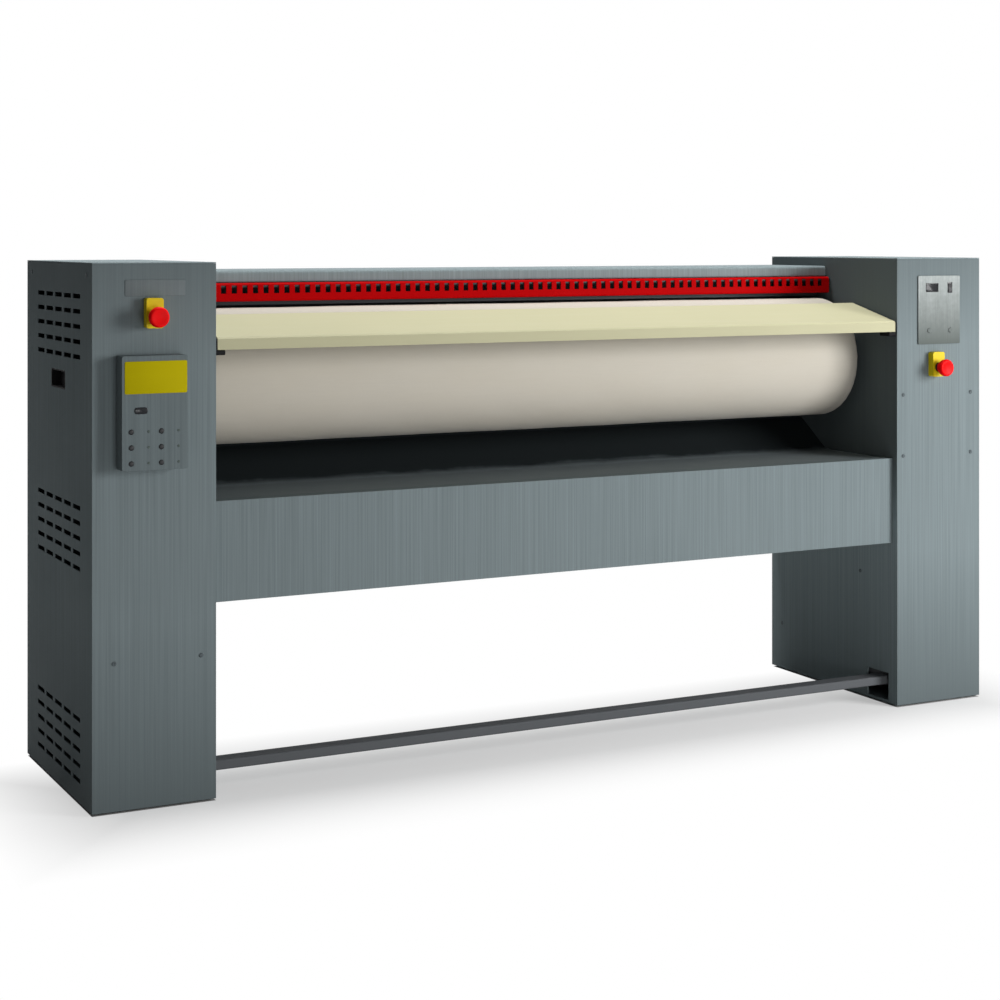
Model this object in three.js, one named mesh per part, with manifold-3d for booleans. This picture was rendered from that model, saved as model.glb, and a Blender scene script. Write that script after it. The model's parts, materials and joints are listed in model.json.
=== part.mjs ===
// A flatwork ironer for a laundry: two sheet-steel pedestals carry a padded roll between them. A heated chest
// wraps the rear of the roll and swings against it when the treadle is pressed. Linen goes in over the feed board,
// under the red finger guard, round the roll, and drops into the tray above the front panel.
// Millimetres, +Z up. The operator stands on the -Y side. The origin is on the floor, at the footprint's centre.

import * as THREE from 'three';
import { mergeVertices } from 'three/addons/utils/BufferGeometryUtils.js';
import Module from 'manifold-3d';

const wasm = await Module();
wasm.setup();

// ---------------------------------------------------------------- driving sizes
const height = 1050; // floor to the top of the pedestals
const depth = 505; // front face to rear face of a pedestal
const pedestalWidth = 246;
const span = 1665; // clear width between the pedestals
const sheet = 2; // thickness of every cover
const framePlate = 5; // thickness of the inner, load-carrying plate of a pedestal
const seat = 0.3; // gap left between pieces that rest on each other
const footRise = 4; // covers end this far above the floor
const basePlate = 4;
const baseOpeningSide = 70; // edges of the opening in a pedestal's foot from the pedestal's sides
const baseOpeningEnd = 120; // and from its front and rear faces
const coverReturn = 15; // width of the folded edges of a cover
const facets = 20; // sides of an ordinary round piece

const rollRadius = 142.5; // over the cloth
const rollToRear = 247; // roll axis in front of the rear face
const rollEndGap = 10.5; // cloth end to pedestal
const rollFacets = 32;
const pulleyFacets = 24;
const clothThickness = 3;
const paddingThickness = 12;
const drumWall = 5;
const drumDisc = 8;
const clothReach = 42; // how far the cloth is drawn in over the roll's end
const shoulder = 30; // rounding of the cloth at the roll's ends
const driveShaftRadius = 20;
const ventShaftRadius = 25; // the hollow right-hand shaft, which draws the steam out of the drum
const ventShaftBore = 19;
const bearingFlangeRadius = 62;
const bearingFlange = 12;
const bearingHubRadius = 42;
const bearingLength = 34;

const rollPulleyRadius = 110;
const motorPulleyRadius = 35;
const beltWidth = 22;
const beltThickness = 5;
const beltGap = 1; // belt edge to pulley flange
const pulleyFlange = 3;
const pulleyFlangeRise = 4;
const pulleyInset = 67; // frame plate to the near flange of both pulleys
const motorForward = 33; // motor shaft in front of the roll axis
const motorDrop = 309; // motor shaft below the roll axis
const motorShaftRadius = 12;
const motorShaftDepth = 30; // how far the pulley's shaft reaches into the gear case
const gearCaseGap = 7; // gear case to motor pulley
const gearCaseDepth = 110;
const gearCaseHeight = 120;
const gearCaseCorner = 14;
const motorRadius = 48;
const motorNeck = 36;
const motorGap = 4; // motor to frame plate
const motorEndGap = 40; // motor's end to the front face
const fanCowlRadius = 42;
const fanCowlLength = 34;
const terminalBox = 60; // length of the motor's terminal box
const terminalWidth = 55;
const terminalHeight = 72; // top of the terminal box above the motor's axis

const chestGap = 3; // roll to chest when the chest is closed
const bedThickness = 9;
const heaterRadius = 6;
const heaterCount = 6;
const insulationThickness = 15;
const shellThickness = 2;
const chestTopAngle = 82; // degrees above the horizontal through the roll axis
const chestLowAngle = -58;
const chestEndGap = 10; // chest end plate to pedestal
const chestEndPlate = 6;
const chestOpenAngle = 2.5; // degrees the chest swings back from the roll
const chestFacets = 22;
const shaftBehind = 72; // torque shaft behind the roll axis
const shaftDrop = 359; // torque shaft below the roll axis
const shaftRadius = 12.5;
const chestPinAngle = -12;
const chestPinRadius = 12.5;
const slotClearance = 4;

const armThickness = 8;
const rockerHub = 28; // round ends of the arms and cranks
const rockerTip = 24;
const crankHub = 26;
const treadleHub = 22;
const treadleTip = 16;
const crankTip = 13;
const linkEye = 12;
const armInset = 6; // frame plate to rocker arms and treadle arms
const crankLength = 120; // bell crank from the torque shaft to the link rod
const treadleCrank = 60; // treadle pivot to the link rod
const treadleHeight = 56; // centre of the treadle bar above the floor
const treadleSetback = 60;
const treadleDepth = 40;
const treadleThickness = 20;
const treadleWall = 2;
const treadlePivotHeight = 110;
const treadlePivotRadius = 8;
const linkPinRadius = 5;
const linkPinPlay = 0.8; // play in the link rod's upper eye

const boardBackDrop = 11.5; // back edge of the feed board below the top of the roll
const boardRise = 38; // back edge of the feed board above its front edge
const boardToRoll = 92; // back edge of the feed board in front of the roll axis
const boardLip = 23;
const boardReturn = 18;
const boardHem = 10;
const boardBend = 3; // rounding of the feed board's front and back edges
const boardEndGap = 4;
const boardSetback = 2;
const bracketPlate = 3;
const bracketFootWidth = 17;
const bracketFoot = 10;
const bracketFootDepth = 36;

const nipHeight = 12; // roll top to the bottom of the finger guard
const guardHeight = 32.5; // guard's hinge rod above its bottom edge
const guardBehind = 4; // guard's hinge rod behind the roll axis
const guardRodRadius = 4;
const guardHem = 8;
const guardHemRadius = 3;
const guardEndGap = 6;
const guardSlotPitch = 23.5;
const guardSlotWidth = 11.5;
const guardSlotHeight = 17;
const guardSlotRise = 1.5; // top of the slots above the hinge rod's axis

const hoodDrop = 21.4; // top of the hood below the pedestal tops
const hoodNoseHeight = 25;
const hoodBehind = 18; // hood's nose behind the roll axis
const hoodGap = 1; // finger guard's curl to hood
const hoodLip = 20;
const hoodFlange = 30;

const panelDrop = 85.5; // top of the front panel below the roll
const panelHeight = 198;
const panelRecess = 16; // front panel behind the pedestal faces
const panelFlange = 30;
const beamHeight = 60;
const beamDepth = 40;
const beamWall = 3;
const trayFlat = 22; // end of the tray's flat part behind the roll axis
const trayGap = 10; // tray below the open chest's lower edge
const trayLip = 85; // tray's rear bend behind the open chest's lower edge
const trayLipRise = 39; // and above it
const trayShelf = 18; // width of the angles that carry the tray and the hood

const ventLength = 54;
const ventHeight = 9;
const ventPitch = 69;
const ventRowPitch = 29.5;
const ventColumns = 5;
const ventRows = 5;
const ventTop = 66; // top row of vents below the pedestal top
const ventFoot = 46; // lowest row of vents above the floor
const ventForward = 3.5; // middle of the vents in front of the pedestal's middle

const handleWidth = 107;
const handleHeight = 37;
const handleDepth = 22;
const handleAhead = 8; // handle's middle in front of the roll axis
const handleRise = 6; // handle's middle above the roll axis
const handleWall = 2;

const boxWidth = 130; // control box on the left pedestal
const boxHeight = 218;
const boxDepth = 35;
const boxInset = 48; // from the outer edge of the pedestal
const boxDrop = 177; // top of the box below the pedestal top
const boxCorner = 4;
const keyRadius = 4.8;
const keyTravel = 1.5;
const keyProud = 1.6;
const keyPitch = 30;
const keyColumns = [18, 77]; // from the left edge of the box
const keyLowest = 14; // lowest key above the bottom of the box
const windowWidth = 24;
const windowHeight = 11;
const windowInset = 37; // middle of the display from the left edge of the box
const windowDrop = 104; // middle of the display below the top of the box

const plateWidth = 124; // control plate on the right pedestal
const plateHeight = 161;
const plateThickness = 3;
const plateInset = 60; // from the inner edge of the pedestal
const plateDrop = 42;
const screenAside = -21; // middle of the plate's display beside the plate's middle
const screenDrop = 28; // and below its top
const rockerAside = 32;
const buttonAsides = [-30, 33];
const buttonRise = 32; // buttons above the plate's lower edge
const screenWidth = 34;
const screenHeight = 18;
const rockerWidth = 10;
const rockerHeight = 21;
const buttonRadius = 5.7;
const boardThickness = 1.6;

const stopHeadRadius = 20; // emergency stop buttons
const stopHeadLength = 22;
const stopReach = 50; // front of the head from the pedestal face
const stopStemRadius = 11;
const stopNeckRadius = 14;
const stopStemEnd = 30; // back of the stem behind the pedestal face
const stopBlockDepth = 52;
const stopBodyWidth = 34;
const stopBodyHeight = 58;
const stopBodyDepth = 18;
const stopBodyRaise = 7; // body's middle above the button's axis
const stopTravel = 4;
const leftStopInset = 118; // from the outer edge of the left pedestal
const leftStopDrop = 104;
const rightStopInset = 109; // from the inner edge of the right pedestal
const rightStopDrop = 257;

const contactorSetback = 24; // mounting plate behind the front face
const contactorPlateDepth = 116;
const contactorPlateDrop = 200; // bottom of the mounting plate below the roll axis
const contactorPlateHeight = 240;
const contactorStandoff = 10;
const contactorGap = 5; // contactors to the roll pulley's plane
const contactorPitch = 74;
const contactorHeight = 58;
const contactorDepth = 70;

const fanWidth = 60;
const fanInset = 52; // frame plate to fan housing
const fanInnerRadius = 80;
const fanOuterRadius = 140;
const scrollStart = -60; // angle of the scroll's tongue, and the angle it runs round to its outlet
const scrollTurn = 330;
const fanOutletTop = 69; // top wall of the fan's outlet below its axis
const impellerRadius = 66;
const impellerWidth = 40;
const impellerBlades = 9;
const spigotRadius = 34;
const spigotReach = 45; // exhaust spigot behind the rear face
const glandHeight = 120;
const glandRadius = 12;

// ---------------------------------------------------------------- places worked out from them
const half = span / 2; // pedestal's inner face
const outer = half + pedestalWidth; // pedestal's outer face
const front = -(depth + spigotReach - stopReach) / 2; // front face of the pedestals
const back = front + depth;
const plateFace = half + framePlate; // frame plate's hidden face
const coverTop = height - sheet;

const rollY = back - rollToRear;
const curlRadius = guardRodRadius + 2 * seat + sheet / 2;
const hoodTop = height - hoodDrop;
const hoodBottom = hoodTop - hoodNoseHeight;
const rodY = rollY + guardBehind;
const rodZ = hoodBottom - hoodGap - sheet / 2 - curlRadius;
const guardHalf = half - guardEndGap;
const guardBottom = rodZ - guardHeight;
const rollTop = guardBottom - nipHeight;
const rollZ = rollTop - rollRadius;
const rollHalf = half - rollEndGap;
const paddingOuter = rollRadius - clothThickness - seat;
const drumRadius = paddingOuter - paddingThickness;
const drumHalf = rollHalf - clothThickness - 2 * seat - paddingThickness;
const panelTop = rollZ - rollRadius - panelDrop;
const panelBottom = panelTop - panelHeight;

const shaftY = rollY + shaftBehind;
const shaftZ = rollZ - shaftDrop;
const bedInner = rollRadius + chestGap;
const bedOuter = bedInner + bedThickness;
const insulationInner = bedOuter + 2 * heaterRadius + 4 * seat;
const insulationOuter = insulationInner + insulationThickness;
const shellOuter = insulationOuter + 3 * seat + shellThickness;
const chestHalf = half - chestEndGap;
const chestInnerHalf = chestHalf - chestEndPlate - seat;
const chestPinReach = (bedInner + shellOuter) / 2;
const armFace = plateFace + armInset;
const armOuter = armFace + armThickness;
const rodOuter = armOuter + seat + armThickness;

const linkY = shaftY + crankLength;
const treadleY = linkY - treadleCrank;
const treadleZ = treadlePivotHeight;
const barY = front + treadleSetback;
const barZ = treadleHeight;

const motorY = rollY - motorForward;
const motorZ = rollZ - motorDrop;
const pulleyNear = plateFace + pulleyInset;
const pulleyWidth = beltWidth + 2 * beltGap + 2 * pulleyFlange;
const gearCaseWidth = pulleyInset - gearCaseGap;

// ---------------------------------------------------------------- colours
const paint = (colour, roughness, metalness = 0) =>
	new THREE.MeshStandardMaterial({ color: colour, roughness, metalness });
const colours = {
	cover: () => paint(0x5d686d, 0.5, 0.35),
	frame: () => paint(0x3d4344, 0.6, 0.3),
	red: () => paint(0xc40408, 0.4),
	cream: () => paint(0xdcdcb4, 0.55),
	cloth: () => paint(0xc9c5bc, 0.95),
	felt: () => paint(0xe6e1d4, 1),
	steel: () => paint(0xb5b8ba, 0.35, 0.9),
	darkSteel: () => paint(0x2a2b2d, 0.55, 0.6),
	rubber: () => paint(0x141414, 0.85),
	yellow: () => paint(0xd9c60a, 0.45),
	silver: () => paint(0xc3cac9, 0.35, 0.6),
	keyBlack: () => paint(0x1c1f21, 0.5),
	castGrey: () => paint(0x70777b, 0.6, 0.4),
	insulation: () => paint(0xd8cfa8, 1),
	circuit: () => paint(0x20502f, 0.6),
	tray: () => paint(0x3a4145, 0.45, 0.4),
};

// ---------------------------------------------------------------- building blocks
const machine = new THREE.Group();

function add(name, geometry, material, x = 0, y = 0, z = 0, parent = machine) {
	const mesh = new THREE.Mesh(geometry, material());
	mesh.name = name;
	mesh.position.set(x, y, z);
	parent.add(mesh);
	return mesh;
}

// A closed solid from a geometry: vertices shared, slivers dropped, faces turned outwards.
function solid(geometry) {
	const bare = geometry.clone();
	bare.deleteAttribute('normal');
	bare.deleteAttribute('uv');
	const shared = mergeVertices(bare, 1e-4);
	const position = shared.attributes.position.array;
	const faces = [];
	for (let i = 0; i < shared.index.count; i += 3) {
		const [a, b, c] = [0, 1, 2].map((k) => shared.index.array[i + k]);
		if (a !== b && b !== c && c !== a) faces.push(a, b, c);
	}
	if (signedVolume(position, faces) < 0) {
		for (let i = 0; i < faces.length; i += 3) [faces[i], faces[i + 1]] = [faces[i + 1], faces[i]];
	}
	return new wasm.Manifold(new wasm.Mesh({
		numProp: 3,
		vertProperties: new Float32Array(position),
		triVerts: new Uint32Array(faces),
	}));
}

function signedVolume(position, faces) {
	const corner = (i) => new THREE.Vector3(position[3 * i], position[3 * i + 1], position[3 * i + 2]);
	let sum = 0;
	for (let i = 0; i < faces.length; i += 3) {
		const [a, b, c] = [corner(faces[i]), corner(faces[i + 1]), corner(faces[i + 2])];
		sum += a.dot(b.cross(c));
	}
	return sum;
}

function geometryOf(body) {
	const mesh = body.getMesh();
	const geometry = new THREE.BufferGeometry();
	geometry.setAttribute('position', new THREE.BufferAttribute(new Float32Array(mesh.vertProperties), 3));
	geometry.setIndex(new THREE.BufferAttribute(new Uint32Array(mesh.triVerts), 1));
	geometry.computeVertexNormals();
	return geometry;
}

const join = (...pieces) => geometryOf(pieces.map(solid).reduce((a, b) => a.add(b)));
const cut = (piece, ...tools) => geometryOf(tools.map(solid).reduce((a, b) => a.subtract(b), solid(piece)));
const moved = (geometry, x, y, z) => geometry.clone().translate(x, y, z);
const mirrored = (geometry) => geometryOf(solid(geometry.clone().scale(-1, 1, 1)));
const box = (width, deep, tall) => new THREE.BoxGeometry(width, deep, tall);

function boxBetween(x0, x1, y0, y1, z0, z1) {
	return moved(box(x1 - x0, y1 - y0, z1 - z0), (x0 + x1) / 2, (y0 + y1) / 2, (z0 + z1) / 2);
}

// Extrusions of a flat outline: along X the outline is (y, z), along Y it is (x, z), along Z it is (x, y).
const axes = {
	x: [new THREE.Vector3(0, 1, 0), new THREE.Vector3(0, 0, 1), new THREE.Vector3(1, 0, 0)],
	y: [new THREE.Vector3(1, 0, 0), new THREE.Vector3(0, 0, 1), new THREE.Vector3(0, -1, 0)],
	z: [new THREE.Vector3(1, 0, 0), new THREE.Vector3(0, 1, 0), new THREE.Vector3(0, 0, 1)],
};
function prism(axis, points, from, to) {
	const geometry = new THREE.ExtrudeGeometry(new THREE.Shape(points), { depth: to - from, bevelEnabled: false });
	geometry.applyMatrix4(new THREE.Matrix4().makeBasis(...axes[axis]));
	const start = { x: [from, 0, 0], y: [0, to, 0], z: [0, 0, from] }[axis];
	return solid(geometry.translate(...start));
}
function extruded(axis, shape, from, to, curveSegments = 8) {
	const body = prism(axis, shape.getPoints(curveSegments), from, to);
	const holes = shape.holes.map((hole) => prism(axis, hole.getPoints(curveSegments), from - 1, to + 1));
	return geometryOf(holes.reduce((a, b) => a.subtract(b), body));
}

// A turned piece: the profile's points are (radius, distance along the axis).
function turned(axis, profile, segments = facets) {
	const geometry = new THREE.LatheGeometry(profile.map(([r, h]) => new THREE.Vector2(r, h)), segments);
	if (axis === 'x') geometry.rotateZ(-Math.PI / 2);
	if (axis === 'z') geometry.rotateX(Math.PI / 2);
	return geometryOf(solid(geometry));
}
const rod = (axis, radius, from, to, segments = facets) =>
	turned(axis, [[0, from], [radius, from], [radius, to], [0, to]], segments);
const ring = (axis, inner, outside, from, to, segments = facets) =>
	turned(axis, [[inner, from], [outside, from], [outside, to], [inner, to], [inner, from]], segments);

const outline = (points) => new THREE.Shape(points.map(([u, v]) => new THREE.Vector2(u, v)));
const rectangle = (u0, u1, v0, v1) => outline([[u0, v0], [u1, v0], [u1, v1], [u0, v1]]);
function withHoles(shape, holes) {
	shape.holes.push(...holes);
	return shape;
}

// A faceted hole whose flats lie on the given radius.
function circle(u, v, radius, segments = facets) {
	return outline(arc(u, v, around(radius, segments), 0, 360 - 360 / segments, segments - 1));
}
const around = (radius, segments = facets) => radius / Math.cos(Math.PI / segments);
function rounded(u0, u1, v0, v1, radius) {
	const shape = new THREE.Shape();
	shape.moveTo(u0 + radius, v0).lineTo(u1 - radius, v0).absarc(u1 - radius, v0 + radius, radius, -Math.PI / 2, 0);
	shape.lineTo(u1, v1 - radius).absarc(u1 - radius, v1 - radius, radius, 0, Math.PI / 2);
	shape.lineTo(u0 + radius, v1).absarc(u0 + radius, v1 - radius, radius, Math.PI / 2, Math.PI);
	shape.lineTo(u0, v0 + radius).absarc(u0 + radius, v0 + radius, radius, Math.PI, 1.5 * Math.PI);
	return shape;
}

// Points along an arc, angles in degrees.
function arc(u, v, radius, from, to, steps) {
	return Array.from({ length: steps + 1 }, (_, i) => {
		const angle = THREE.MathUtils.degToRad(from + ((to - from) * i) / steps);
		return [u + radius * Math.cos(angle), v + radius * Math.sin(angle)];
	});
}

// The outline of a sheet of even thickness whose middle line follows the points.
function folded(points, thickness) {
	const line = points.map(([u, v]) => new THREE.Vector2(u, v));
	const side = (sign) => line.map((point, i) => {
		const before = line[Math.max(i - 1, 0)];
		const after = line[Math.min(i + 1, line.length - 1)];
		const into = point.clone().sub(i ? before : point).normalize();
		const out = after.clone().sub(point).normalize();
		const a = i ? into : out;
		const b = i < line.length - 1 ? out : into;
		const normal = new THREE.Vector2(-a.y - b.y, a.x + b.x).normalize();
		const reach = thickness / 2 / normal.dot(new THREE.Vector2(-a.y, a.x));
		return point.clone().addScaledVector(normal, sign * reach);
	});
	return new THREE.Shape([...side(1), ...side(-1).reverse()]);
}

// The outline of a flat bar: the straight hull of two round ends.
function bar(u0, v0, r0, u1, v1, r1, steps = 6) {
	const length = Math.hypot(u1 - u0, v1 - v0);
	const along = THREE.MathUtils.radToDeg(Math.atan2(v1 - v0, u1 - u0));
	const spread = THREE.MathUtils.radToDeg(Math.acos((r0 - r1) / length));
	return outline([
		...arc(u1, v1, r1, along - spread, along + spread, steps),
		...arc(u0, v0, r0, along + spread, along + 360 - spread, steps),
	]);
}

// ---------------------------------------------------------------- pedestals
// The inner plate carries the roll, the chest and the treadle, and has welded angles for the tray and the hood.
function pedestalFrame(side) {
	const pinHole = chestPinSlot();
	const shaftHoleRadius = (side < 0 ? driveShaftRadius : ventShaftRadius) + slotClearance;
	const face = withHoles(rectangle(front + sheet + seat, back - sheet - seat, footRise, coverTop - seat), [
		circle(rollY, rollZ, shaftHoleRadius),
		circle(shaftY, shaftZ, shaftRadius + seat),
		pinHole,
		treadleSlot(),
	]);
	const plate = extruded('x', face, half, plateFace);
	const pivot = moved(rod('x', treadlePivotRadius, half + 1, armOuter + armInset), 0, treadleY, treadleZ);
	const trayAngle = angle(front + panelRecess + panelFlange + trayShelf, rollY + trayFlat, trayTop - sheet - seat);
	const hoodAngle = angle(hoodFront + hoodLip + 5, back - sheet - trayShelf, hoodTop - sheet - seat);
	const feet = footPlaces.map(([x, y]) => moved(foot(), x, y, 0));
	const right = join(plate, pivot, trayAngle, hoodAngle, baseFlange(), ...feet);
	return side > 0 ? right : mirrored(right);
}

// A welded angle on the right-hand frame plate, reaching inwards, with its upper face at the given height.
function angle(y0, y1, top) {
	const leg = boxBetween(half - sheet, half + 1, y0, y1, top - trayShelf, top);
	const ledge = boxBetween(half - trayShelf, half + 1, y0, y1, top - sheet, top);
	return join(leg, ledge);
}

// The chest's pins swing through this slot; its ends are the pin at the open and the closed chest.
function chestPinSlot() {
	const closed = pinPlace();
	const open = turnedAbout(closed, -chestOpenAngle);
	const radius = chestPinRadius + slotClearance;
	return bar(closed[0], closed[1], radius, open[0], open[1], radius + 0.01, 8);
}
function pinPlace() {
	return arc(rollY, rollZ, chestPinReach, chestPinAngle, chestPinAngle, 1)[0];
}
function turnedAbout([y, z], degrees) {
	const turn = new THREE.Vector2(y, z).rotateAround(
		new THREE.Vector2(shaftY, shaftZ), THREE.MathUtils.degToRad(degrees));
	return [turn.x, turn.y];
}

// The treadle bar passes through this opening and sinks in it when pressed.
function treadleSlot() {
	const top = barZ + treadleThickness / 2 + 2 * slotClearance;
	const rear = barY + treadleDepth / 2 + 8 * slotClearance;
	return rectangle(barY - treadleDepth / 2 - 2 * slotClearance, rear, footRise + basePlate + seat + 2, top);
}

// A cover folded back along two edges, as a channel whose face is outwards.
function channel(width, deep, thickness) {
	return folded([[-width / 2, deep], [-width / 2, 0], [width / 2, 0], [width / 2, deep]], thickness);
}

function frontCover(side) {
	const clearWidth = pedestalWidth - framePlate - sheet - 2 * seat;
	const facing = boxBetween(half, outer, front, front + sheet, footRise, coverTop - seat);
	const fold = extruded('z', channel(clearWidth - sheet, coverReturn, sheet), footRise, coverTop - seat);
	const middle = plateFace + seat + clearWidth / 2;
	const shell = join(facing, moved(fold, middle, front + sheet / 2, 0));
	if (side > 0) {
		return cut(shell, stopHole(rightStop), plateWindow());
	}
	return cut(mirrored(shell), stopHole(leftStop), boxWindow());
}
const stopHole = ({ x, z }) => moved(rod('y', stopNeckRadius + seat, front - 1, front + sheet + 1), x, 0, z);

const sideGroups = { left: [0, 1, 2], right: [0] };
const ventGroupPitch = (height - ventTop - ventFoot - (ventRows - 1) * ventRowPitch) / 2;
function sideCover(side) {
	const holes = [];
	const middle = (front + back) / 2 - ventForward;
	for (const group of sideGroups[side < 0 ? 'left' : 'right']) {
		for (let row = 0; row < ventRows; row++) {
			const z = height - ventTop - group * ventGroupPitch - row * ventRowPitch;
			for (let column = 0; column < ventColumns; column++) {
				const y = middle + (column - (ventColumns - 1) / 2) * ventPitch;
				holes.push(rectangle(y - ventLength / 2, y + ventLength / 2, z - ventHeight / 2, z + ventHeight / 2));
			}
		}
	}
	if (side < 0) {
		const [w, h] = [handleWidth / 2 + seat, handleHeight / 2 + seat];
		holes.push(rectangle(handleY - w, handleY + w, handleZ - h, handleZ + h));
	}
	const face = rectangle(front + sheet + seat, back - sheet - seat, footRise, coverTop - seat);
	const panel = extruded('x', withHoles(face, holes), outer - sheet, outer);
	return side > 0 ? panel : moved(panel, sheet - 2 * outer, 0, 0);
}
const handleY = rollY - handleAhead;
const handleZ = rollZ + handleRise;

function flushHandle() {
	const [w, h, wall] = [handleWidth / 2, handleHeight / 2, handleWall];
	const rim = extruded('x', rounded(-w, w, -h, h, 5), -outer, -outer + sheet + seat, 2);
	const cup = extruded('x', rounded(-w - 4, w + 4, -h - 4, h + 4, 6), -outer + sheet + seat, -outer + handleDepth, 2);
	const pocket = extruded('x', rounded(wall - w, w - wall, wall - h, h - wall, 4), -outer - 1,
		-outer + handleDepth - wall, 2);
	return cut(join(rim, cup), pocket);
}

function rearCover(side) {
	const holes = side > 0
		? [circle(exhaust.x, exhaust.z, spigotRadius + seat)]
		: [circle(gland.x, gland.z, glandRadius + seat)];
	const x0 = side > 0 ? half : -outer;
	const face = withHoles(rectangle(x0, x0 + pedestalWidth, footRise, coverTop - seat), holes);
	return extruded('y', face, back - sheet, back);
}

function topCover() {
	const inset = sheet + seat;
	const [x0, x1] = [plateFace + seat, outer - inset];
	const rim = withHoles(rectangle(x0, x1, front + inset, back - inset), [
		rectangle(x0 + sheet, x1 - sheet, front + inset + sheet, back - inset - sheet),
	]);
	const lid = boxBetween(half, outer, front, back, coverTop, height);
	const notches = boxBetween(half, outer, front, front + coverReturn + 2 * sheet, 0, coverTop - seat);
	const skirt = cut(extruded('z', rim, coverTop - coverReturn, coverTop + 1), notches);
	return join(lid, skirt);
}

// The frame plate's foot, a flange right across the pedestal with an opening for the cables.
function baseFlange() {
	const opening = rectangle(plateFace + baseOpeningSide, outer - baseOpeningSide,
		front + baseOpeningEnd, back - baseOpeningEnd);
	const face = rectangle(plateFace - 1, outer - sheet - seat, front + coverReturn + sheet + 1, back - sheet - seat);
	return extruded('z', withHoles(face, [opening]), footRise, footRise + basePlate);
}

const footStud = 5;
const footInset = 36;
const footPlaces = [plateFace + footInset, outer - footInset].flatMap((x) => {
	return [front + footInset + coverReturn, back - footInset].map((y) => [x, y]);
});

// A levelling foot: a pad under the flange and a stud above it.
function foot() {
	return turned('z', [[0, 0], [20, 0], [20, footRise + 1], [footStud, footRise + 1], [footStud, 26], [0, 26]], 6);
}

// ---------------------------------------------------------------- front panel, tray, hood and rear panel
const panelHalf = half - 1;
const trayTop = panelTop - sheet - seat;
const hoodFront = rollY + hoodBehind;

function frontPanel() {
	const [face, top, low] = [front + panelRecess + sheet / 2, panelTop - sheet / 2, panelBottom + sheet / 2];
	const path = [[face + panelFlange, top], [face, top], [face, low], [back - sheet - seat, low]];
	return extruded('x', folded(path, sheet), -panelHalf, panelHalf);
}

function rearBeam() {
	const [y, z] = [back - sheet - seat - beamDepth, panelBottom + sheet + seat];
	const section = withHoles(rectangle(y, y + beamDepth, z, z + beamHeight), [
		rectangle(y + beamWall, y + beamDepth - beamWall, z + beamWall, z + beamHeight - beamWall),
	]);
	return extruded('x', section, -half + seat, half - seat);
}

function linenTray() {
	const z = trayTop - sheet / 2;
	const [start, bend] = [front + panelRecess + 2 * sheet, rollY + trayFlat];
	const [chestY, chestZ] = turnedAbout(arc(rollY, rollZ, shellOuter, chestLowAngle, 0, 1)[0], -chestOpenAngle);
	const rear = chestZ + trayLipRise;
	const path = [[start, z], [bend - panelFlange, z], [bend, z + 2 * sheet], [chestY, chestZ - trayGap],
		[chestY + trayLip, rear], [back - sheet - seat, rear]];
	return extruded('x', folded(path, sheet), -panelHalf, panelHalf);
}

function rearPanel() {
	const holes = [];
	const [columns, pitch, length, tall] = [8, 190, 130, 8];
	for (const row of [0]) {
		for (let column = 0; column < columns; column++) {
			const x = (column - (columns - 1) / 2) * pitch;
			const z = rollTop - 10 - row * 22;
			holes.push(rectangle(x - length / 2, x + length / 2, z - tall / 2, z + tall / 2));
		}
	}
	const face = rectangle(-panelHalf, panelHalf, panelBottom, hoodTop - hoodFlange - seat);
	return extruded('y', withHoles(face, holes), back - sheet, back);
}

// The hood closes the chest's top: a nose above the finger guard, a flat top and a rear flange.
function chestHood() {
	const [nose, top, low] = [hoodFront + sheet / 2, hoodTop - sheet / 2, hoodBottom + sheet / 2];
	const path = [[nose + hoodLip, low], [nose + 2, low], [nose, low + 2],
		...arc(nose + 6, top - 6, 6, 180, 90, 4),
		[back - sheet / 2, top], [back - sheet / 2, hoodTop - hoodFlange]];
	return extruded('x', folded(path, sheet), -panelHalf, panelHalf);
}

// ---------------------------------------------------------------- feed board
const boardHalf = half - boardEndGap;
const boardBack = rollTop - boardBackDrop;
const boardFrontY = front + boardSetback + sheet / 2;
const boardBackY = rollY - boardToRoll;
const boardDepth = boardBackY - boardFrontY;
const boardFrontZ = boardBack - boardRise;

function feedBoard() {
	const low = boardFrontZ - boardLip;
	const path = [[boardFrontY + boardReturn, low], [boardFrontY, low], [boardFrontY, boardFrontZ - boardBend],
		[boardFrontY + boardBend, boardFrontZ], [boardBackY - boardBend, boardBack],
		[boardBackY, boardBack - boardBend], [boardBackY, boardBack - boardHem]];
	return extruded('x', folded(path, sheet), -boardHalf, boardHalf);
}

// A bracket screwed to the pedestal: an upright plate, a sloping ledge under the board and a foot under its lip.
function boardBracket() {
	const slope = boardRise / boardDepth;
	const under = (y) => boardFrontZ + (y - boardFrontY) * slope - sheet - seat;
	const [y0, y1] = [boardFrontY + boardReturn + 4, boardBackY - 14];
	const footTop = boardFrontZ - boardLip - sheet / 2 - seat;
	const [x1, x0] = [half - seat, half - seat - bracketPlate];
	const cheek = outline([[boardFrontY, footTop - bracketFoot], [boardFrontY + bracketFootDepth, footTop - bracketFoot],
		[y1, under(y1) - 22], [y1, under(y1)], [boardFrontY, under(boardFrontY)]]);
	const ledge = outline([[y0, under(y0) - 3], [y1, under(y1) - 3], [y1, under(y1)], [y0, under(y0)]]);
	const pad = rounded(boardFrontY, boardFrontY + bracketFootDepth, footTop - bracketFoot, footTop, 3);
	return join(
		extruded('x', cheek, x0, x1),
		extruded('x', ledge, half - bracketFootWidth, x1),
		extruded('x', pad, half - bracketFootWidth - 3, x1, 3),
	);
}

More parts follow.
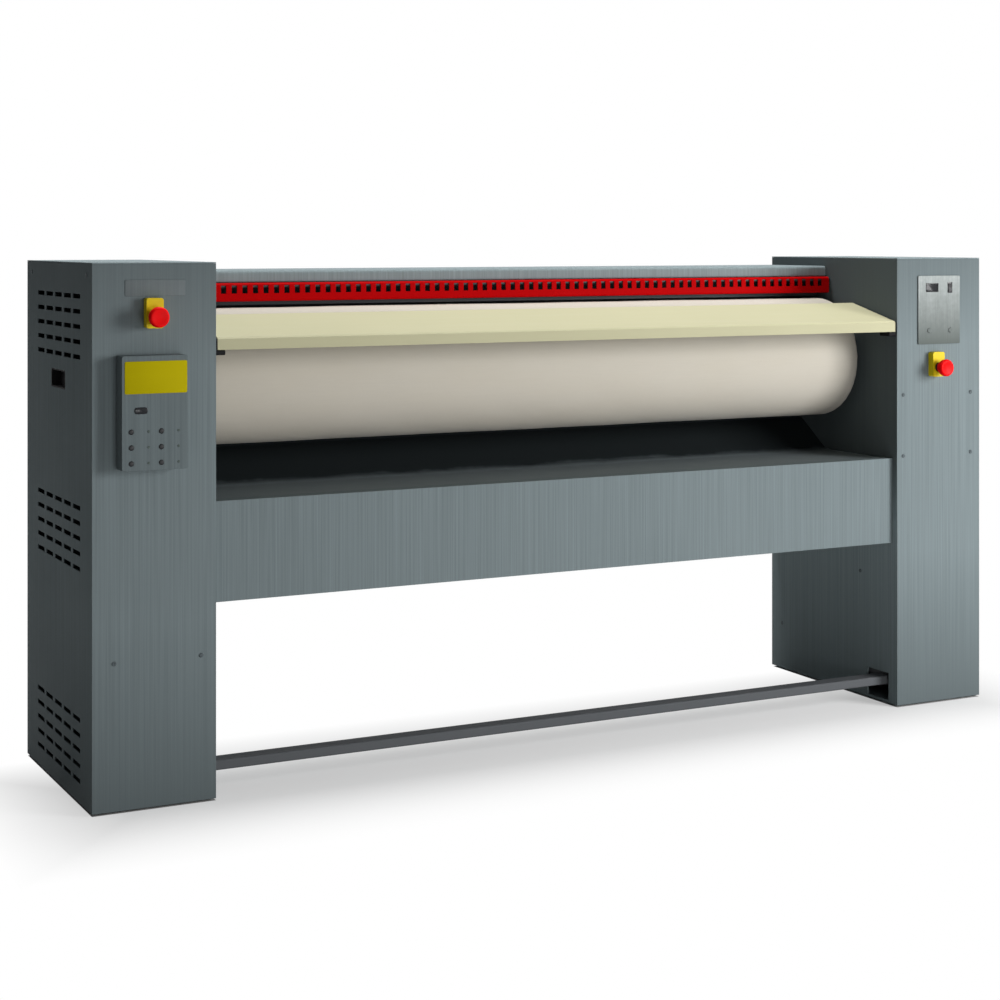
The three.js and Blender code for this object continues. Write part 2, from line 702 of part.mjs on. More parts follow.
// ---------------------------------------------------------------- finger guard
function fingerGuard() {
	const hem = guardHemRadius;
	const faceY = rodY - curlRadius;
	const path = [
		...arc(rodY, rodZ, curlRadius, -40, 180, 7),
		...arc(faceY + hem, guardBottom + sheet / 2 + hem, hem, 180, 270, 2),
		[faceY + guardHem, guardBottom + sheet / 2],
	];
	const blade = extruded('x', folded(path, sheet), -guardHalf, guardHalf);
	const count = Math.floor((2 * guardHalf - 30) / guardSlotPitch);
	const slotTop = rodZ + guardSlotRise;
	const slots = Array.from({ length: count }, (_, i) => {
		const x = (i - (count - 1) / 2) * guardSlotPitch;
		return boxBetween(x - guardSlotWidth / 2, x + guardSlotWidth / 2, faceY - sheet, faceY + sheet,
			slotTop - guardSlotHeight, slotTop);
	});
	return cut(blade, ...slots);
}

// The switch that the pushed guard trips, screwed to the frame plate behind the guard's end.
function guardSwitch() {
	const y = rodY + 12;
	const x = half - seat;
	const body = boxBetween(x - 9, x, y, y + 20, guardBottom + 2, guardBottom + 14);
	const wing = boxBetween(x - 3, x, y + 3, y + 17, guardBottom + 2, guardBottom + 26);
	return join(body, wing);
}

// ---------------------------------------------------------------- roll and its drive
const driveShaftEnd = pulleyNear + pulleyWidth + 4;
const ventShaftEnd = plateFace + fanInset - 1;

// The drum is one welding: a tube, two discs, a solid drive shaft on the left, a hollow shaft on the right.
function rollDrum() {
	const inside = drumHalf - drumDisc;
	return turned('x', [
		[0, -driveShaftEnd], [driveShaftRadius, -driveShaftEnd], [driveShaftRadius, -drumHalf],
		[drumRadius - seat, -drumHalf], [drumRadius - seat, drumHalf], [ventShaftRadius, drumHalf],
		[ventShaftRadius, ventShaftEnd], [ventShaftBore, ventShaftEnd], [ventShaftBore, inside],
		[drumRadius - drumWall, inside], [drumRadius - drumWall, -inside], [0, -inside],
	], rollFacets);
}

// Points (radius, x) round the roll's right shoulder, the given depth below the cloth's face.
function shoulderLine(below) {
	return arc(rollHalf - shoulder, rollRadius - shoulder, shoulder - below, 0, 90, 3).map(([x, r]) => [r, x]);
}
const flipped = (points) => points.map(([r, x]) => [r, -x]).reverse();

// The felt covers the drum's rim and is turned in over its ends.
function rollPadding() {
	const end = drumHalf + seat;
	const right = [[rollRadius - shoulder, end], ...shoulderLine(clothThickness + seat)];
	return turned('x', [[drumRadius, end], ...right, ...flipped(right), [drumRadius, -end], [drumRadius, end]], rollFacets);
}

// The cloth is drawn in over both ends of the roll, with rounded shoulders.
function rollCloth() {
	const lip = rollRadius - clothReach;
	const outside = [[lip, rollHalf], ...shoulderLine(0)];
	const inside = [[lip, rollHalf - clothThickness], ...shoulderLine(clothThickness)].reverse();
	return turned('x', [...outside, ...flipped(outside), ...flipped(inside), ...inside, outside[0]], rollFacets);
}

function rollBearing(radius) {
	const [near, flangeEnd, far] = [plateFace + seat, plateFace + seat + bearingFlange, plateFace + bearingLength];
	const bore = around(radius + seat);
	return turned('x', [
		[bore, near], [bearingFlangeRadius, near], [bearingFlangeRadius, flangeEnd - 2],
		[bearingFlangeRadius - 2, flangeEnd], [bearingHubRadius, flangeEnd], [bearingHubRadius - 4, far],
		[bore, far], [bore, near],
	]);
}

// Outer half of a flanged pulley's profile, from the hub's near face round the rim to its far face.
function pulleyRim(radius, near) {
	const far = near + pulleyWidth;
	const lip = radius + pulleyFlangeRise;
	return [[lip, near], [lip, near + pulleyFlange], [radius, near + pulleyFlange],
		[radius, far - pulleyFlange], [lip, far - pulleyFlange], [lip, far]];
}

function rollPulley() {
	const [near, far] = [pulleyNear, pulleyNear + pulleyWidth];
	const [rim, hub, bore] = [rollPulleyRadius - 10, 36, around(driveShaftRadius + seat, pulleyFacets)];
	const web = (near + far) / 2;
	return turned('x', [
		[bore, near], [hub, near], [hub, web], [rim, web], [rim, near], ...pulleyRim(rollPulleyRadius, near),
		[bore, far], [bore, near],
	], pulleyFacets);
}

function motorPulley() {
	const start = plateFace + gearCaseWidth - motorShaftDepth;
	return turned('x', [
		[0, start], [motorShaftRadius, start], [motorShaftRadius, pulleyNear],
		...pulleyRim(motorPulleyRadius, pulleyNear),
		[0, pulleyNear + pulleyWidth],
	]);
}

// The belt's two straight runs are the outer tangents of the pulleys.
function driveBelt() {
	const reach = (radius) => around(radius, pulleyFacets);
	const loop = (gap) => {
		const [large, small] = [reach(rollPulleyRadius + gap), reach(motorPulleyRadius + gap)];
		return bar(rollY, rollZ, large, motorY, motorZ, small, 18);
	};
	const start = pulleyNear + pulleyFlange + beltGap;
	return extruded('x', withHoles(loop(seat + beltThickness), [loop(seat)]), start, start + beltWidth);
}

// A gear case on the frame plate, with its motor along the pedestal, towards the front.
function gearMotor() {
	const [y0, y1] = [motorY - gearCaseDepth / 2, motorY + gearCaseDepth / 2];
	const section = rounded(y0, y1, motorZ - gearCaseHeight / 2, motorZ + gearCaseHeight / 2, gearCaseCorner);
	const housing = extruded('x', section, plateFace + seat, plateFace + gearCaseWidth, 4);
	const end = front + motorEndGap;
	const cowl = end + fanCowlLength;
	const barrel = turned('y', [[0, end], [motorNeck, end], [fanCowlRadius, end + 8], [fanCowlRadius, cowl],
		[motorRadius, cowl + 2], [motorRadius, y0 - 14], [motorNeck, y0 - 8], [motorNeck, y0 + 1], [0, y0 + 1]], 16);
	const axis = plateFace + motorGap + motorRadius;
	const terminals = boxBetween(axis - terminalWidth / 2, axis + terminalWidth / 2, y0 - 20 - terminalBox, y0 - 20,
		motorZ + motorRadius / 2, motorZ + terminalHeight);
	const bore = rod('x', around(motorShaftRadius + seat), plateFace + gearCaseWidth - motorShaftDepth - 2,
		plateFace + gearCaseWidth + 1);
	return cut(join(housing, moved(barrel, axis, 0, motorZ), terminals), moved(bore, 0, motorY, motorZ));
}

// ---------------------------------------------------------------- chest: modelled closed, hung open
function sector(inner, outside, x0, x1, trim = 0) {
	const [low, top] = [chestLowAngle + trim, chestTopAngle - trim];
	const shape = outline([
		...arc(rollY, rollZ, outside, low, top, chestFacets),
		...arc(rollY, rollZ, inner, top, low, chestFacets),
	]);
	return extruded('x', shape, x0, x1);
}

// The bed is the polished plate that irons, welded between two end plates.
function chestBed() {
	const plate = sector(bedInner, bedOuter, -chestHalf + 1, chestHalf - 1);
	return join(plate, chestEnd(), mirrored(chestEnd()));
}
const chestInsulation = () => sector(insulationInner, insulationOuter, -chestInnerHalf, chestInnerHalf, 1.2);

function chestShell() {
	const path = [
		...arc(rollY, rollZ, bedOuter + seat + 1, chestLowAngle, chestLowAngle, 1).slice(0, 1),
		...arc(rollY, rollZ, shellOuter - shellThickness / 2, chestLowAngle, chestTopAngle, chestFacets),
		...arc(rollY, rollZ, bedOuter + seat + 1, chestTopAngle, chestTopAngle, 1).slice(0, 1),
	];
	return extruded('x', folded(path, shellThickness), -chestInnerHalf, chestInnerHalf);
}

function chestHeaters() {
	const reach = bedOuter + seat + heaterRadius;
	const margin = 12;
	const places = arc(rollY, rollZ, reach, chestLowAngle + margin, chestTopAngle - margin, heaterCount - 1);
	const rods = places.map(([y, z]) => {
		return moved(rod('x', heaterRadius, -chestInnerHalf + seat, chestInnerHalf - seat, 8), 0, y, z);
	});
	const strap = outline([
		...arc(rollY, rollZ, reach + 2, chestLowAngle + margin, chestTopAngle - margin, 10),
		...arc(rollY, rollZ, reach - 2, chestTopAngle - margin, chestLowAngle + margin, 10),
	]);
	const straps = [-0.6, 0.6].map((share) => {
		return extruded('x', strap, share * chestHalf - 12, share * chestHalf + 12);
	});
	return join(...rods, ...straps);
}

// An end plate with the pin that the rocker arm holds.
function chestEnd() {
	const plate = sector(bedInner, shellOuter, chestHalf - chestEndPlate, chestHalf);
	const [y, z] = pinPlace();
	return join(plate, moved(rod('x', chestPinRadius, chestHalf - 1, armOuter + 4), 0, y, z));
}

// The torque shaft and the two arms that carry the chest. The left arm has the crank for the treadle's rod.
function rockerShaft() {
	const shaft = moved(rod('x', shaftRadius, -armOuter - 5, armOuter + 5), 0, shaftY, shaftZ);
	return join(shaft, rockerArm(1), rockerArm(-1));
}
function rockerArm(side) {
	const [y, z] = pinPlace();
	const arm = withHoles(bar(shaftY, shaftZ, rockerHub, y, z, rockerTip), [circle(y, z, chestPinRadius + seat)]);
	const right = extruded('x', arm, armFace, armOuter);
	if (side > 0) return right;
	const [crankY, crankZ] = turnedAbout([shaftY + crankLength, shaftZ], chestOpenAngle);
	const crank = bar(shaftY, shaftZ, crankHub, crankY, crankZ, crankTip);
	const pin = moved(rod('x', linkPinRadius, armOuter - 1, rodOuter + 2, 12), 0, crankY, crankZ);
	return mirrored(join(right, extruded('x', crank, armFace, armOuter), pin));
}

// ---------------------------------------------------------------- treadle
// A tube along the floor, welded between two arms that turn on the frame plates' pivots.
function treadle() {
	const [w, h, wall] = [treadleDepth / 2, treadleThickness / 2, treadleWall];
	const section = withHoles(rounded(barY - w, barY + w, barZ - h, barZ + h, 4), [
		rectangle(barY + wall - w, barY + w - wall, barZ + wall - h, barZ + h - wall),
	]);
	const tube = extruded('x', section, -armFace - 1, armFace + 1, 3);
	return join(tube, treadleArm(1), treadleArm(-1));
}

function treadleArm(side) {
	const bore = circle(treadleY, treadleZ, treadlePivotRadius + seat);
	const arm = extruded('x', withHoles(bar(treadleY, treadleZ, treadleHub, barY, barZ, treadleTip), [bore]), armFace, armOuter);
	if (side > 0) return arm;
	const crank = withHoles(bar(treadleY, treadleZ, treadleHub, linkY, treadleZ, crankTip), [bore]);
	const pin = moved(rod('x', linkPinRadius, armOuter - 1, rodOuter + 2, 12), 0, linkY, treadleZ);
	return mirrored(join(arm, extruded('x', crank, armFace, armOuter), pin));
}

// The rod joins the treadle's crank to the bell crank. Its upper eye has play.
function linkRod() {
	const strap = bar(linkY, treadleZ, linkEye, linkY, shaftZ, linkEye);
	const eyes = [
		circle(linkY, treadleZ, linkPinRadius + 2 * seat, 12),
		circle(linkY, shaftZ, linkPinRadius + linkPinPlay, 12),
	];
	return mirrored(extruded('x', withHoles(strap, eyes), armOuter + seat, rodOuter));
}

// ---------------------------------------------------------------- controls
const controlBox = { x: -outer + boxInset + boxWidth / 2, z: height - boxDrop - boxHeight / 2 };
const controlPlate = { x: half + plateInset + plateWidth / 2, z: height - plateDrop - plateHeight / 2 };
const leftStop = { x: -outer + leftStopInset, z: height - leftStopDrop };
const rightStop = { x: half + rightStopInset, z: height - rightStopDrop };
const boxFront = front - seat - boxDepth;
const plateFront = front - seat - plateThickness;
const circuitGap = 9; // a key's wall to the circuit board behind it
const post = 3;

function keyPlaces() {
	const left = controlBox.x - boxWidth / 2;
	const low = controlBox.z - boxHeight / 2 + keyLowest;
	return keyColumns.flatMap((u) => [2, 1, 0].map((row) => [left + u, low + row * keyPitch]));
}

function controlBoxShell() {
	const { x, z } = controlBox;
	const [w, h] = [boxWidth / 2, boxHeight / 2];
	const shell = extruded('y', rounded(x - w, x + w, z - h, z + h, boxCorner), boxFront, front - seat, 3);
	const hollow = boxBetween(x - w + sheet, x + w - sheet, boxFront + sheet, front, z - h + sheet, z + h - sheet);
	const display = [x - w + windowInset, z + h - windowDrop];
	const opening = boxBetween(display[0] - windowWidth / 2, display[0] + windowWidth / 2, boxFront - 1,
		boxFront + sheet + 1, display[1] - windowHeight / 2, display[1] + windowHeight / 2);
	const holes = keyPlaces().map(([u, v]) => {
		return moved(rod('y', keyRadius + 2 * seat, boxFront - 1, boxFront + sheet + 1, 10), u, 0, v);
	});
	const posts = corners(x, z, w - 6, h - 6).map(([u, v]) => {
		return moved(rod('y', post, boxFront + 1, boxFront + sheet + circuitGap - seat, 8), u, 0, v);
	});
	return join(cut(shell, hollow, opening, ...holes), ...posts);
}
const corners = (x, z, w, h) => [[x - w, z - h], [x + w, z - h], [x + w, z + h], [x - w, z + h]];
const circuitBoard = ({ x, z }, w, h, y) => boxBetween(x - w, x + w, y, y + boardThickness, z - h, z + h);
function boxWindow() {
	const { x, z } = controlBox;
	return boxBetween(x - 40, x + 40, front - 1, front + sheet + 1, z - 80, z + 40);
}
function plateWindow() {
	const { x, z } = controlPlate;
	const [w, h] = [plateWidth / 2 - 10, plateHeight / 2 - 12];
	return boxBetween(x - w, x + w, front - 1, front + sheet + 1, z - h, z + h);
}

// A push key: a domed cap, a flange behind the wall that it comes through, and a plunger.
function pushKey(radius, wallFront, wall) {
	const behind = wallFront + wall + seat;
	const tip = wallFront - keyProud;
	return turned('y', [
		[0, tip - 0.3], [radius, tip + 0.5], [radius, behind], [radius + 1.7, behind],
		[radius + 1.7, behind + 2], [2.5, behind + 5], [0, behind + 5],
	], 10);
}

function controlPlateShell() {
	const { x, z } = controlPlate;
	const [w, h] = [plateWidth / 2, plateHeight / 2];
	const face = withHoles(rounded(x - w, x + w, z - h, z + h, 3), [
		rectangle(screenX - screenWidth / 2, screenX + screenWidth / 2, screenZ - screenHeight / 2, screenZ + screenHeight / 2),
		rectangle(rockerX - rockerWidth / 2 - 0.6, rockerX + rockerWidth / 2 + 0.6,
			screenZ - rockerHeight / 2 - 0.8, screenZ + rockerHeight / 2 + 0.8),
		...buttonPlaces().map(([u, v]) => circle(u, v, buttonRadius + seat, 10)),
	]);
	return extruded('y', face, plateFront, front - seat, 3);
}
const screenX = controlPlate.x + screenAside;
const screenZ = controlPlate.z + plateHeight / 2 - screenDrop;
const rockerX = controlPlate.x + rockerAside;
const buttonZ = controlPlate.z - plateHeight / 2 + buttonRise;
const buttonPlaces = () => buttonAsides.map((u) => [controlPlate.x + u, buttonZ]);

// The rocker tips about its middle. Its face is a shallow V.
function rockerSwitch() {
	const h = rockerHeight / 2;
	const side = outline([[-2.2, -h], [-1, 0], [-2.2, h], [2.4, h * 0.8], [5.5, 0], [2.4, -h * 0.8]]);
	return extruded('x', side, -rockerWidth / 2, rockerWidth / 2);
}

// The yellow body outside the cover and the contact block behind it are joined by a neck. The stem runs in both.
function stopHousing({ x, z }) {
	const [w, h, mid] = [stopBodyWidth / 2, stopBodyHeight / 2, z + stopBodyRaise];
	const body = extruded('y', rounded(x - w, x + w, mid - h, mid + h, 5), front - seat - stopBodyDepth, front - seat, 3);
	const neck = moved(rod('y', stopNeckRadius, front - seat - 1, front + sheet + seat + 1), x, 0, z);
	const block = boxBetween(x - 20, x + 20, front + sheet + seat, front + stopBlockDepth, z - 20, z + 20);
	const bore = rod('y', stopStemRadius + seat, front - stopReach, front + stopStemEnd + stopTravel + 2);
	return cut(join(body, neck, block), moved(bore, x, 0, z));
}
const stopHeadBack = front - stopReach + stopHeadLength;
const stopBoreEnd = front - stopReach + 6;
function stopHead() {
	const [tip, rim, bore] = [front - stopReach, stopHeadRadius, around(stopStemRadius + seat, 16)];
	return turned('y', [
		[0, tip], [rim * 0.5, tip + 0.8], [rim * 0.85, tip + 3], [rim, tip + 7], [rim, tip + 12],
		[rim * 0.72, stopHeadBack - 3], [rim * 0.7, stopHeadBack], [bore, stopHeadBack], [bore, stopBoreEnd],
		[0, stopBoreEnd],
	], 16);
}
const stopStem = () => rod('y', stopStemRadius, stopBoreEnd + seat, front + stopStemEnd);

// Mounting plate with three contactors, on spacers from the left frame plate.
function contactorPlate() {
	const [y0, y1] = [front + contactorSetback, front + contactorSetback + contactorPlateDepth];
	const [z0, z1] = [rollZ - contactorPlateDrop, rollZ - contactorPlateDrop + contactorPlateHeight];
	const at = (x) => -plateFace - x;
	const face = contactorStandoff + sheet;
	const plate = boxBetween(at(face), at(contactorStandoff), y0, y1, z0, z1);
	const corner = 12;
	const spacers = corners((y0 + y1) / 2, (z0 + z1) / 2, (y1 - y0) / 2 - corner, (z1 - z0) / 2 - corner).map(([y, z]) => {
		return moved(rod('x', 4, at(contactorStandoff + 1), at(seat), 10), 0, y, z);
	});
	const reach = pulleyInset - contactorGap;
	const middle = (y0 + y1) / 2;
	const contactors = [-1, 0, 1].map((i) => {
		const z = (z0 + z1) / 2 + i * contactorPitch;
		const [w, h] = [contactorDepth / 2, contactorHeight / 2];
		const base = boxBetween(at(reach * 0.8), at(face - 1), middle - w, middle + w, z - h, z + h);
		const cap = boxBetween(at(reach), at(reach * 0.8 - 1), middle - w * 0.65, middle + w * 0.65, z - h * 0.7, z + h * 0.7);
		return join(base, cap);
	});
	return join(join(plate, ...spacers), ...contactors);
}

// ---------------------------------------------------------------- exhaust fan in the right pedestal
const fanNear = plateFace + fanInset;
const fanFar = fanNear + fanWidth;
const outletBottom = fanOuterRadius;
const exhaust = { x: (fanNear + fanFar) / 2, z: rollZ - (fanOutletTop + outletBottom) / 2 };
const gland = { x: -outer + 80, z: glandHeight };

// The scroll's radius grows evenly from the tongue round to the outlet, which runs back along Y.
function scroll(inset) {
	const steps = 16;
	const curve = Array.from({ length: steps + 1 }, (_, i) => {
		const reach = fanInnerRadius + ((fanOuterRadius - fanInnerRadius) * i) / steps - inset;
		return arc(rollY, rollZ, reach, scrollStart + (scrollTurn * i) / steps, 0, 1)[0];
	});
	const end = back - sheet - seat - 3 + (inset ? 5 : 0);
	return outline([[end, rollZ - fanOutletTop - inset], ...curve, [end, rollZ - outletBottom + inset]]);
}

function fanHousing() {
	const shell = extruded('x', scroll(0), fanNear, fanFar);
	const hollow = extruded('x', scroll(sheet), fanNear + sheet, fanFar - sheet);
	const inlet = moved(rod('x', ventShaftRadius + 6, fanNear - 1, fanNear + sheet + 1), 0, rollY, rollZ);
	const legs = [[-95, 55], [-95, -62], [62, 78]].map(([y, z]) => {
		return moved(rod('x', 7, plateFace + seat, fanNear + 1, 8), 0, rollY + y, rollZ + z);
	});
	const motor = moved(turned('x', [[0, fanFar - 1], [46, fanFar - 1], [46, fanFar + 60], [38, fanFar + 70],
		[0, fanFar + 70]], 16), 0, rollY, rollZ);
	return join(cut(shell, hollow, inlet), ...legs, motor, exhaustSpigot());
}

function fanImpeller() {
	const near = fanNear + sheet + 6;
	const far = near + impellerWidth;
	const backPlate = rod('x', impellerRadius, far - 2, far);
	const hub = turned('x', [[0, far - 22], [12, far - 20], [14, far], [14, fanFar - sheet - seat], [0, fanFar - sheet - seat]], 12);
	const blade = extruded('x', folded([[impellerRadius - 28, -7], [impellerRadius - 14, -1], [impellerRadius - 1, 8]], 2),
		near, far - 1);
	const blades = Array.from({ length: impellerBlades }, (_, i) => {
		return blade.clone().rotateX((i * 2 * Math.PI) / impellerBlades);
	});
	return join(backPlate, hub, ...blades);
}

// The outlet's flange and the pipe that a duct slips over.
function exhaustSpigot() {
	const inside = back - sheet - seat;
	const pipe = turned('y', [
		[spigotRadius - sheet, inside - 4], [spigotRadius + 8, inside - 4], [spigotRadius + 8, inside],
		[spigotRadius, inside], [spigotRadius, back + spigotReach], [spigotRadius - sheet, back + spigotReach],
		[spigotRadius - sheet, inside - 4],
	], 24);
	return moved(pipe, exhaust.x, 0, exhaust.z);
}

function cableGland() {
	const inside = back - sheet - seat;
	return turned('y', [
		[6, inside - 5], [glandRadius + 4, inside - 5],
		[glandRadius + 4, inside], [glandRadius, inside], [glandRadius, back + seat], [glandRadius + 4, back + seat],
		[glandRadius + 4, back + 7], [glandRadius - 2, back + 20], [6, back + 20], [6, inside - 5],
	], 12);
}

// ---------------------------------------------------------------- the machine
for (const [word, side] of [['left', -1], ['right', 1]]) {
	add(`frame_plate_${word}`, pedestalFrame(side), colours.frame);
	add(`front_cover_${word}`, frontCover(side), colours.cover);
	add(`side_cover_${word}`, sideCover(side), colours.cover);
	add(`rear_cover_${word}`, rearCover(side), colours.cover);
	add(`top_cover_${word}`, side > 0 ? topCover() : mirrored(topCover()), colours.cover);
	add(`board_bracket_${word}`, side > 0 ? boardBracket() : mirrored(boardBracket()), colours.rubber);
}
add('side_handle', flushHandle(), colours.rubber, 0, handleY, handleZ);
add('front_panel', frontPanel(), colours.cover);
add('rear_beam', rearBeam(), colours.darkSteel);
add('linen_tray', linenTray(), colours.tray);
add('rear_panel', rearPanel(), colours.cover);
add('chest_hood', chestHood(), colours.cover);
add('feed_board', feedBoard(), colours.cream);
add('finger_guard', fingerGuard(), colours.red);
add('guard_rod', rod('x', guardRodRadius, -half + seat, half - seat, 16), colours.steel, 0, rodY, rodZ);
add('guard_switch', guardSwitch(), colours.keyBlack);

add('roll_drum', rollDrum(), colours.steel, 0, rollY, rollZ);
add('roll_padding', rollPadding(), colours.felt, 0, rollY, rollZ);
add('roll_cloth', rollCloth(), colours.cloth, 0, rollY, rollZ);
add('roll_bearing_right', rollBearing(ventShaftRadius), colours.castGrey, 0, rollY, rollZ);
add('roll_bearing_left', mirrored(rollBearing(driveShaftRadius)), colours.castGrey, 0, rollY, rollZ);
add('roll_pulley', mirrored(rollPulley()), colours.castGrey, 0, rollY, rollZ);
add('motor_pulley', mirrored(motorPulley()), colours.castGrey, 0, motorY, motorZ);
add('drive_belt', mirrored(driveBelt()), colours.rubber);
add('gear_motor', mirrored(gearMotor()), colours.castGrey);

const chest = new THREE.Group();
chest.position.set(0, shaftY, shaftZ);
chest.rotation.x = -THREE.MathUtils.degToRad(chestOpenAngle);
machine.add(chest);
const hung = (name, geometry, material) => add(name, geometry, material, 0, -shaftY, -shaftZ, chest);
hung('chest_bed', chestBed(), colours.steel);
hung('chest_heaters', chestHeaters(), colours.darkSteel);
hung('chest_insulation', chestInsulation(), colours.insulation);
hung('chest_shell', chestShell(), colours.tray);
hung('rocker_shaft', rockerShaft(), colours.darkSteel);

add('treadle', treadle(), colours.darkSteel);
add('link_rod', linkRod(), colours.steel);

add('control_box', controlBoxShell(), colours.cover);
add('control_board', circuitBoard(controlBox, boxWidth / 2 - 5, boxHeight / 2 - 5, boxFront + sheet + circuitGap),
	colours.circuit);
keyPlaces().forEach(([x, z], i) => {
	add(`key_${i + 1}`, pushKey(keyRadius, boxFront, sheet), colours.keyBlack, x, 0, z);
});
add('control_plate', controlPlateShell(), colours.silver);
add('rocker_switch', rockerSwitch(), colours.keyBlack, rockerX, plateFront, screenZ);
buttonPlaces().forEach(([x, z], i) => {
	add(`plate_button_${i + 1}`, pushKey(buttonRadius, plateFront, plateThickness), colours.silver, x, 0, z);
});
add('contactor_plate', contactorPlate(), colours.castGrey);
for (const [word, place] of [['left', leftStop], ['right', rightStop]]) {
	add(`stop_housing_${word}`, stopHousing(place), colours.yellow);
	add(`stop_stem_${word}`, stopStem(), colours.keyBlack, place.x, 0, place.z);
	add(`stop_head_${word}`, stopHead(), colours.red, place.x, 0, place.z);
}

add('fan_housing', fanHousing(), colours.castGrey);
add('fan_impeller', fanImpeller(), colours.steel, 0, rollY, rollZ);
add('cable_gland', cableGland(), colours.rubber, gland.x, 0, gland.z);

export default machine;
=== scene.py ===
"""Looks of a flatwork ironer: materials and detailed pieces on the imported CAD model, light, camera.

Metres, +Z up, the operator on the -Y side, as in the CAD.
"""
import json
import math

import bmesh
import bpy
from mathutils import Matrix, Vector


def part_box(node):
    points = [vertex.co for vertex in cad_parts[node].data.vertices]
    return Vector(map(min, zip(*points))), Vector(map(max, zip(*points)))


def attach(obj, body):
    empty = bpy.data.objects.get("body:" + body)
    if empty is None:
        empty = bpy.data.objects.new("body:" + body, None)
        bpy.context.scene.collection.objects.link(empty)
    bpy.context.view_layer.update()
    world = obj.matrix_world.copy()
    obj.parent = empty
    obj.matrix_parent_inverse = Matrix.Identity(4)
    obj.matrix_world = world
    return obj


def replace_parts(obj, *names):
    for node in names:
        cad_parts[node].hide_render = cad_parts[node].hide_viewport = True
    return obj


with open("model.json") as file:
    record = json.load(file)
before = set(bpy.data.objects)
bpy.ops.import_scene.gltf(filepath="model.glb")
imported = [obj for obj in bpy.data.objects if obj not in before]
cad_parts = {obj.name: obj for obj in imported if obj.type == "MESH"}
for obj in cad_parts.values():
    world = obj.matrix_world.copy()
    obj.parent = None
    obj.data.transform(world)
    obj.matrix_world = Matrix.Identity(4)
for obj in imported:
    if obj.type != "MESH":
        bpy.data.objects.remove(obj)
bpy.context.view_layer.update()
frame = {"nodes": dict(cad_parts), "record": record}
nodes = frame["nodes"]


# ---------------------------------------------------------------- places taken from the CAD
def low(node):
    return Vector(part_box(node)[0])


def high(node):
    return Vector(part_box(node)[1])


def middle(node):
    return (low(node) + high(node)) / 2


ROLL = middle("roll_cloth")
ROLL_RADIUS = (high("roll_cloth").z - low("roll_cloth").z) / 2
ROLL_HALF = (high("roll_cloth").x - low("roll_cloth").x) / 2
FACE = low("front_cover_left").y  # front of the pedestals
TOP = high("top_cover_left").z
OUTER = high("side_cover_right").x
INNER = low("front_cover_right").x
REAR = high("rear_panel").y
BOX, BOX_FRONT, BOX_TOP = middle("control_box"), low("control_box").y, high("control_box").z
PANEL, PANEL_FRONT = middle("control_plate"), low("control_plate").y
PANEL_TOP = high("control_plate").z

# ---------------------------------------------------------------- materials
COAT_ROUGHNESS = 0.15
FOOT_SHADE_HEIGHTS = (0.0, 0.36)  # heights over which the enamel is darkened towards the floor: painted shade
TOP_SHADE_HEIGHTS = (0.85, 1.05)  # and towards the top: painted shade
SHADE_ABOVE_HEIGHTS = (0.42, 0.58)  # heights over which the frame plates get darker, up to the roll: painted shade from the board and roll
BACK_SHADE_SPAN = (0.0, 0.035)  # Y over which the tray gets darker, up to its back: painted shade under the roll
THREAD = 0.0016  # thread to thread in the ironing cloth


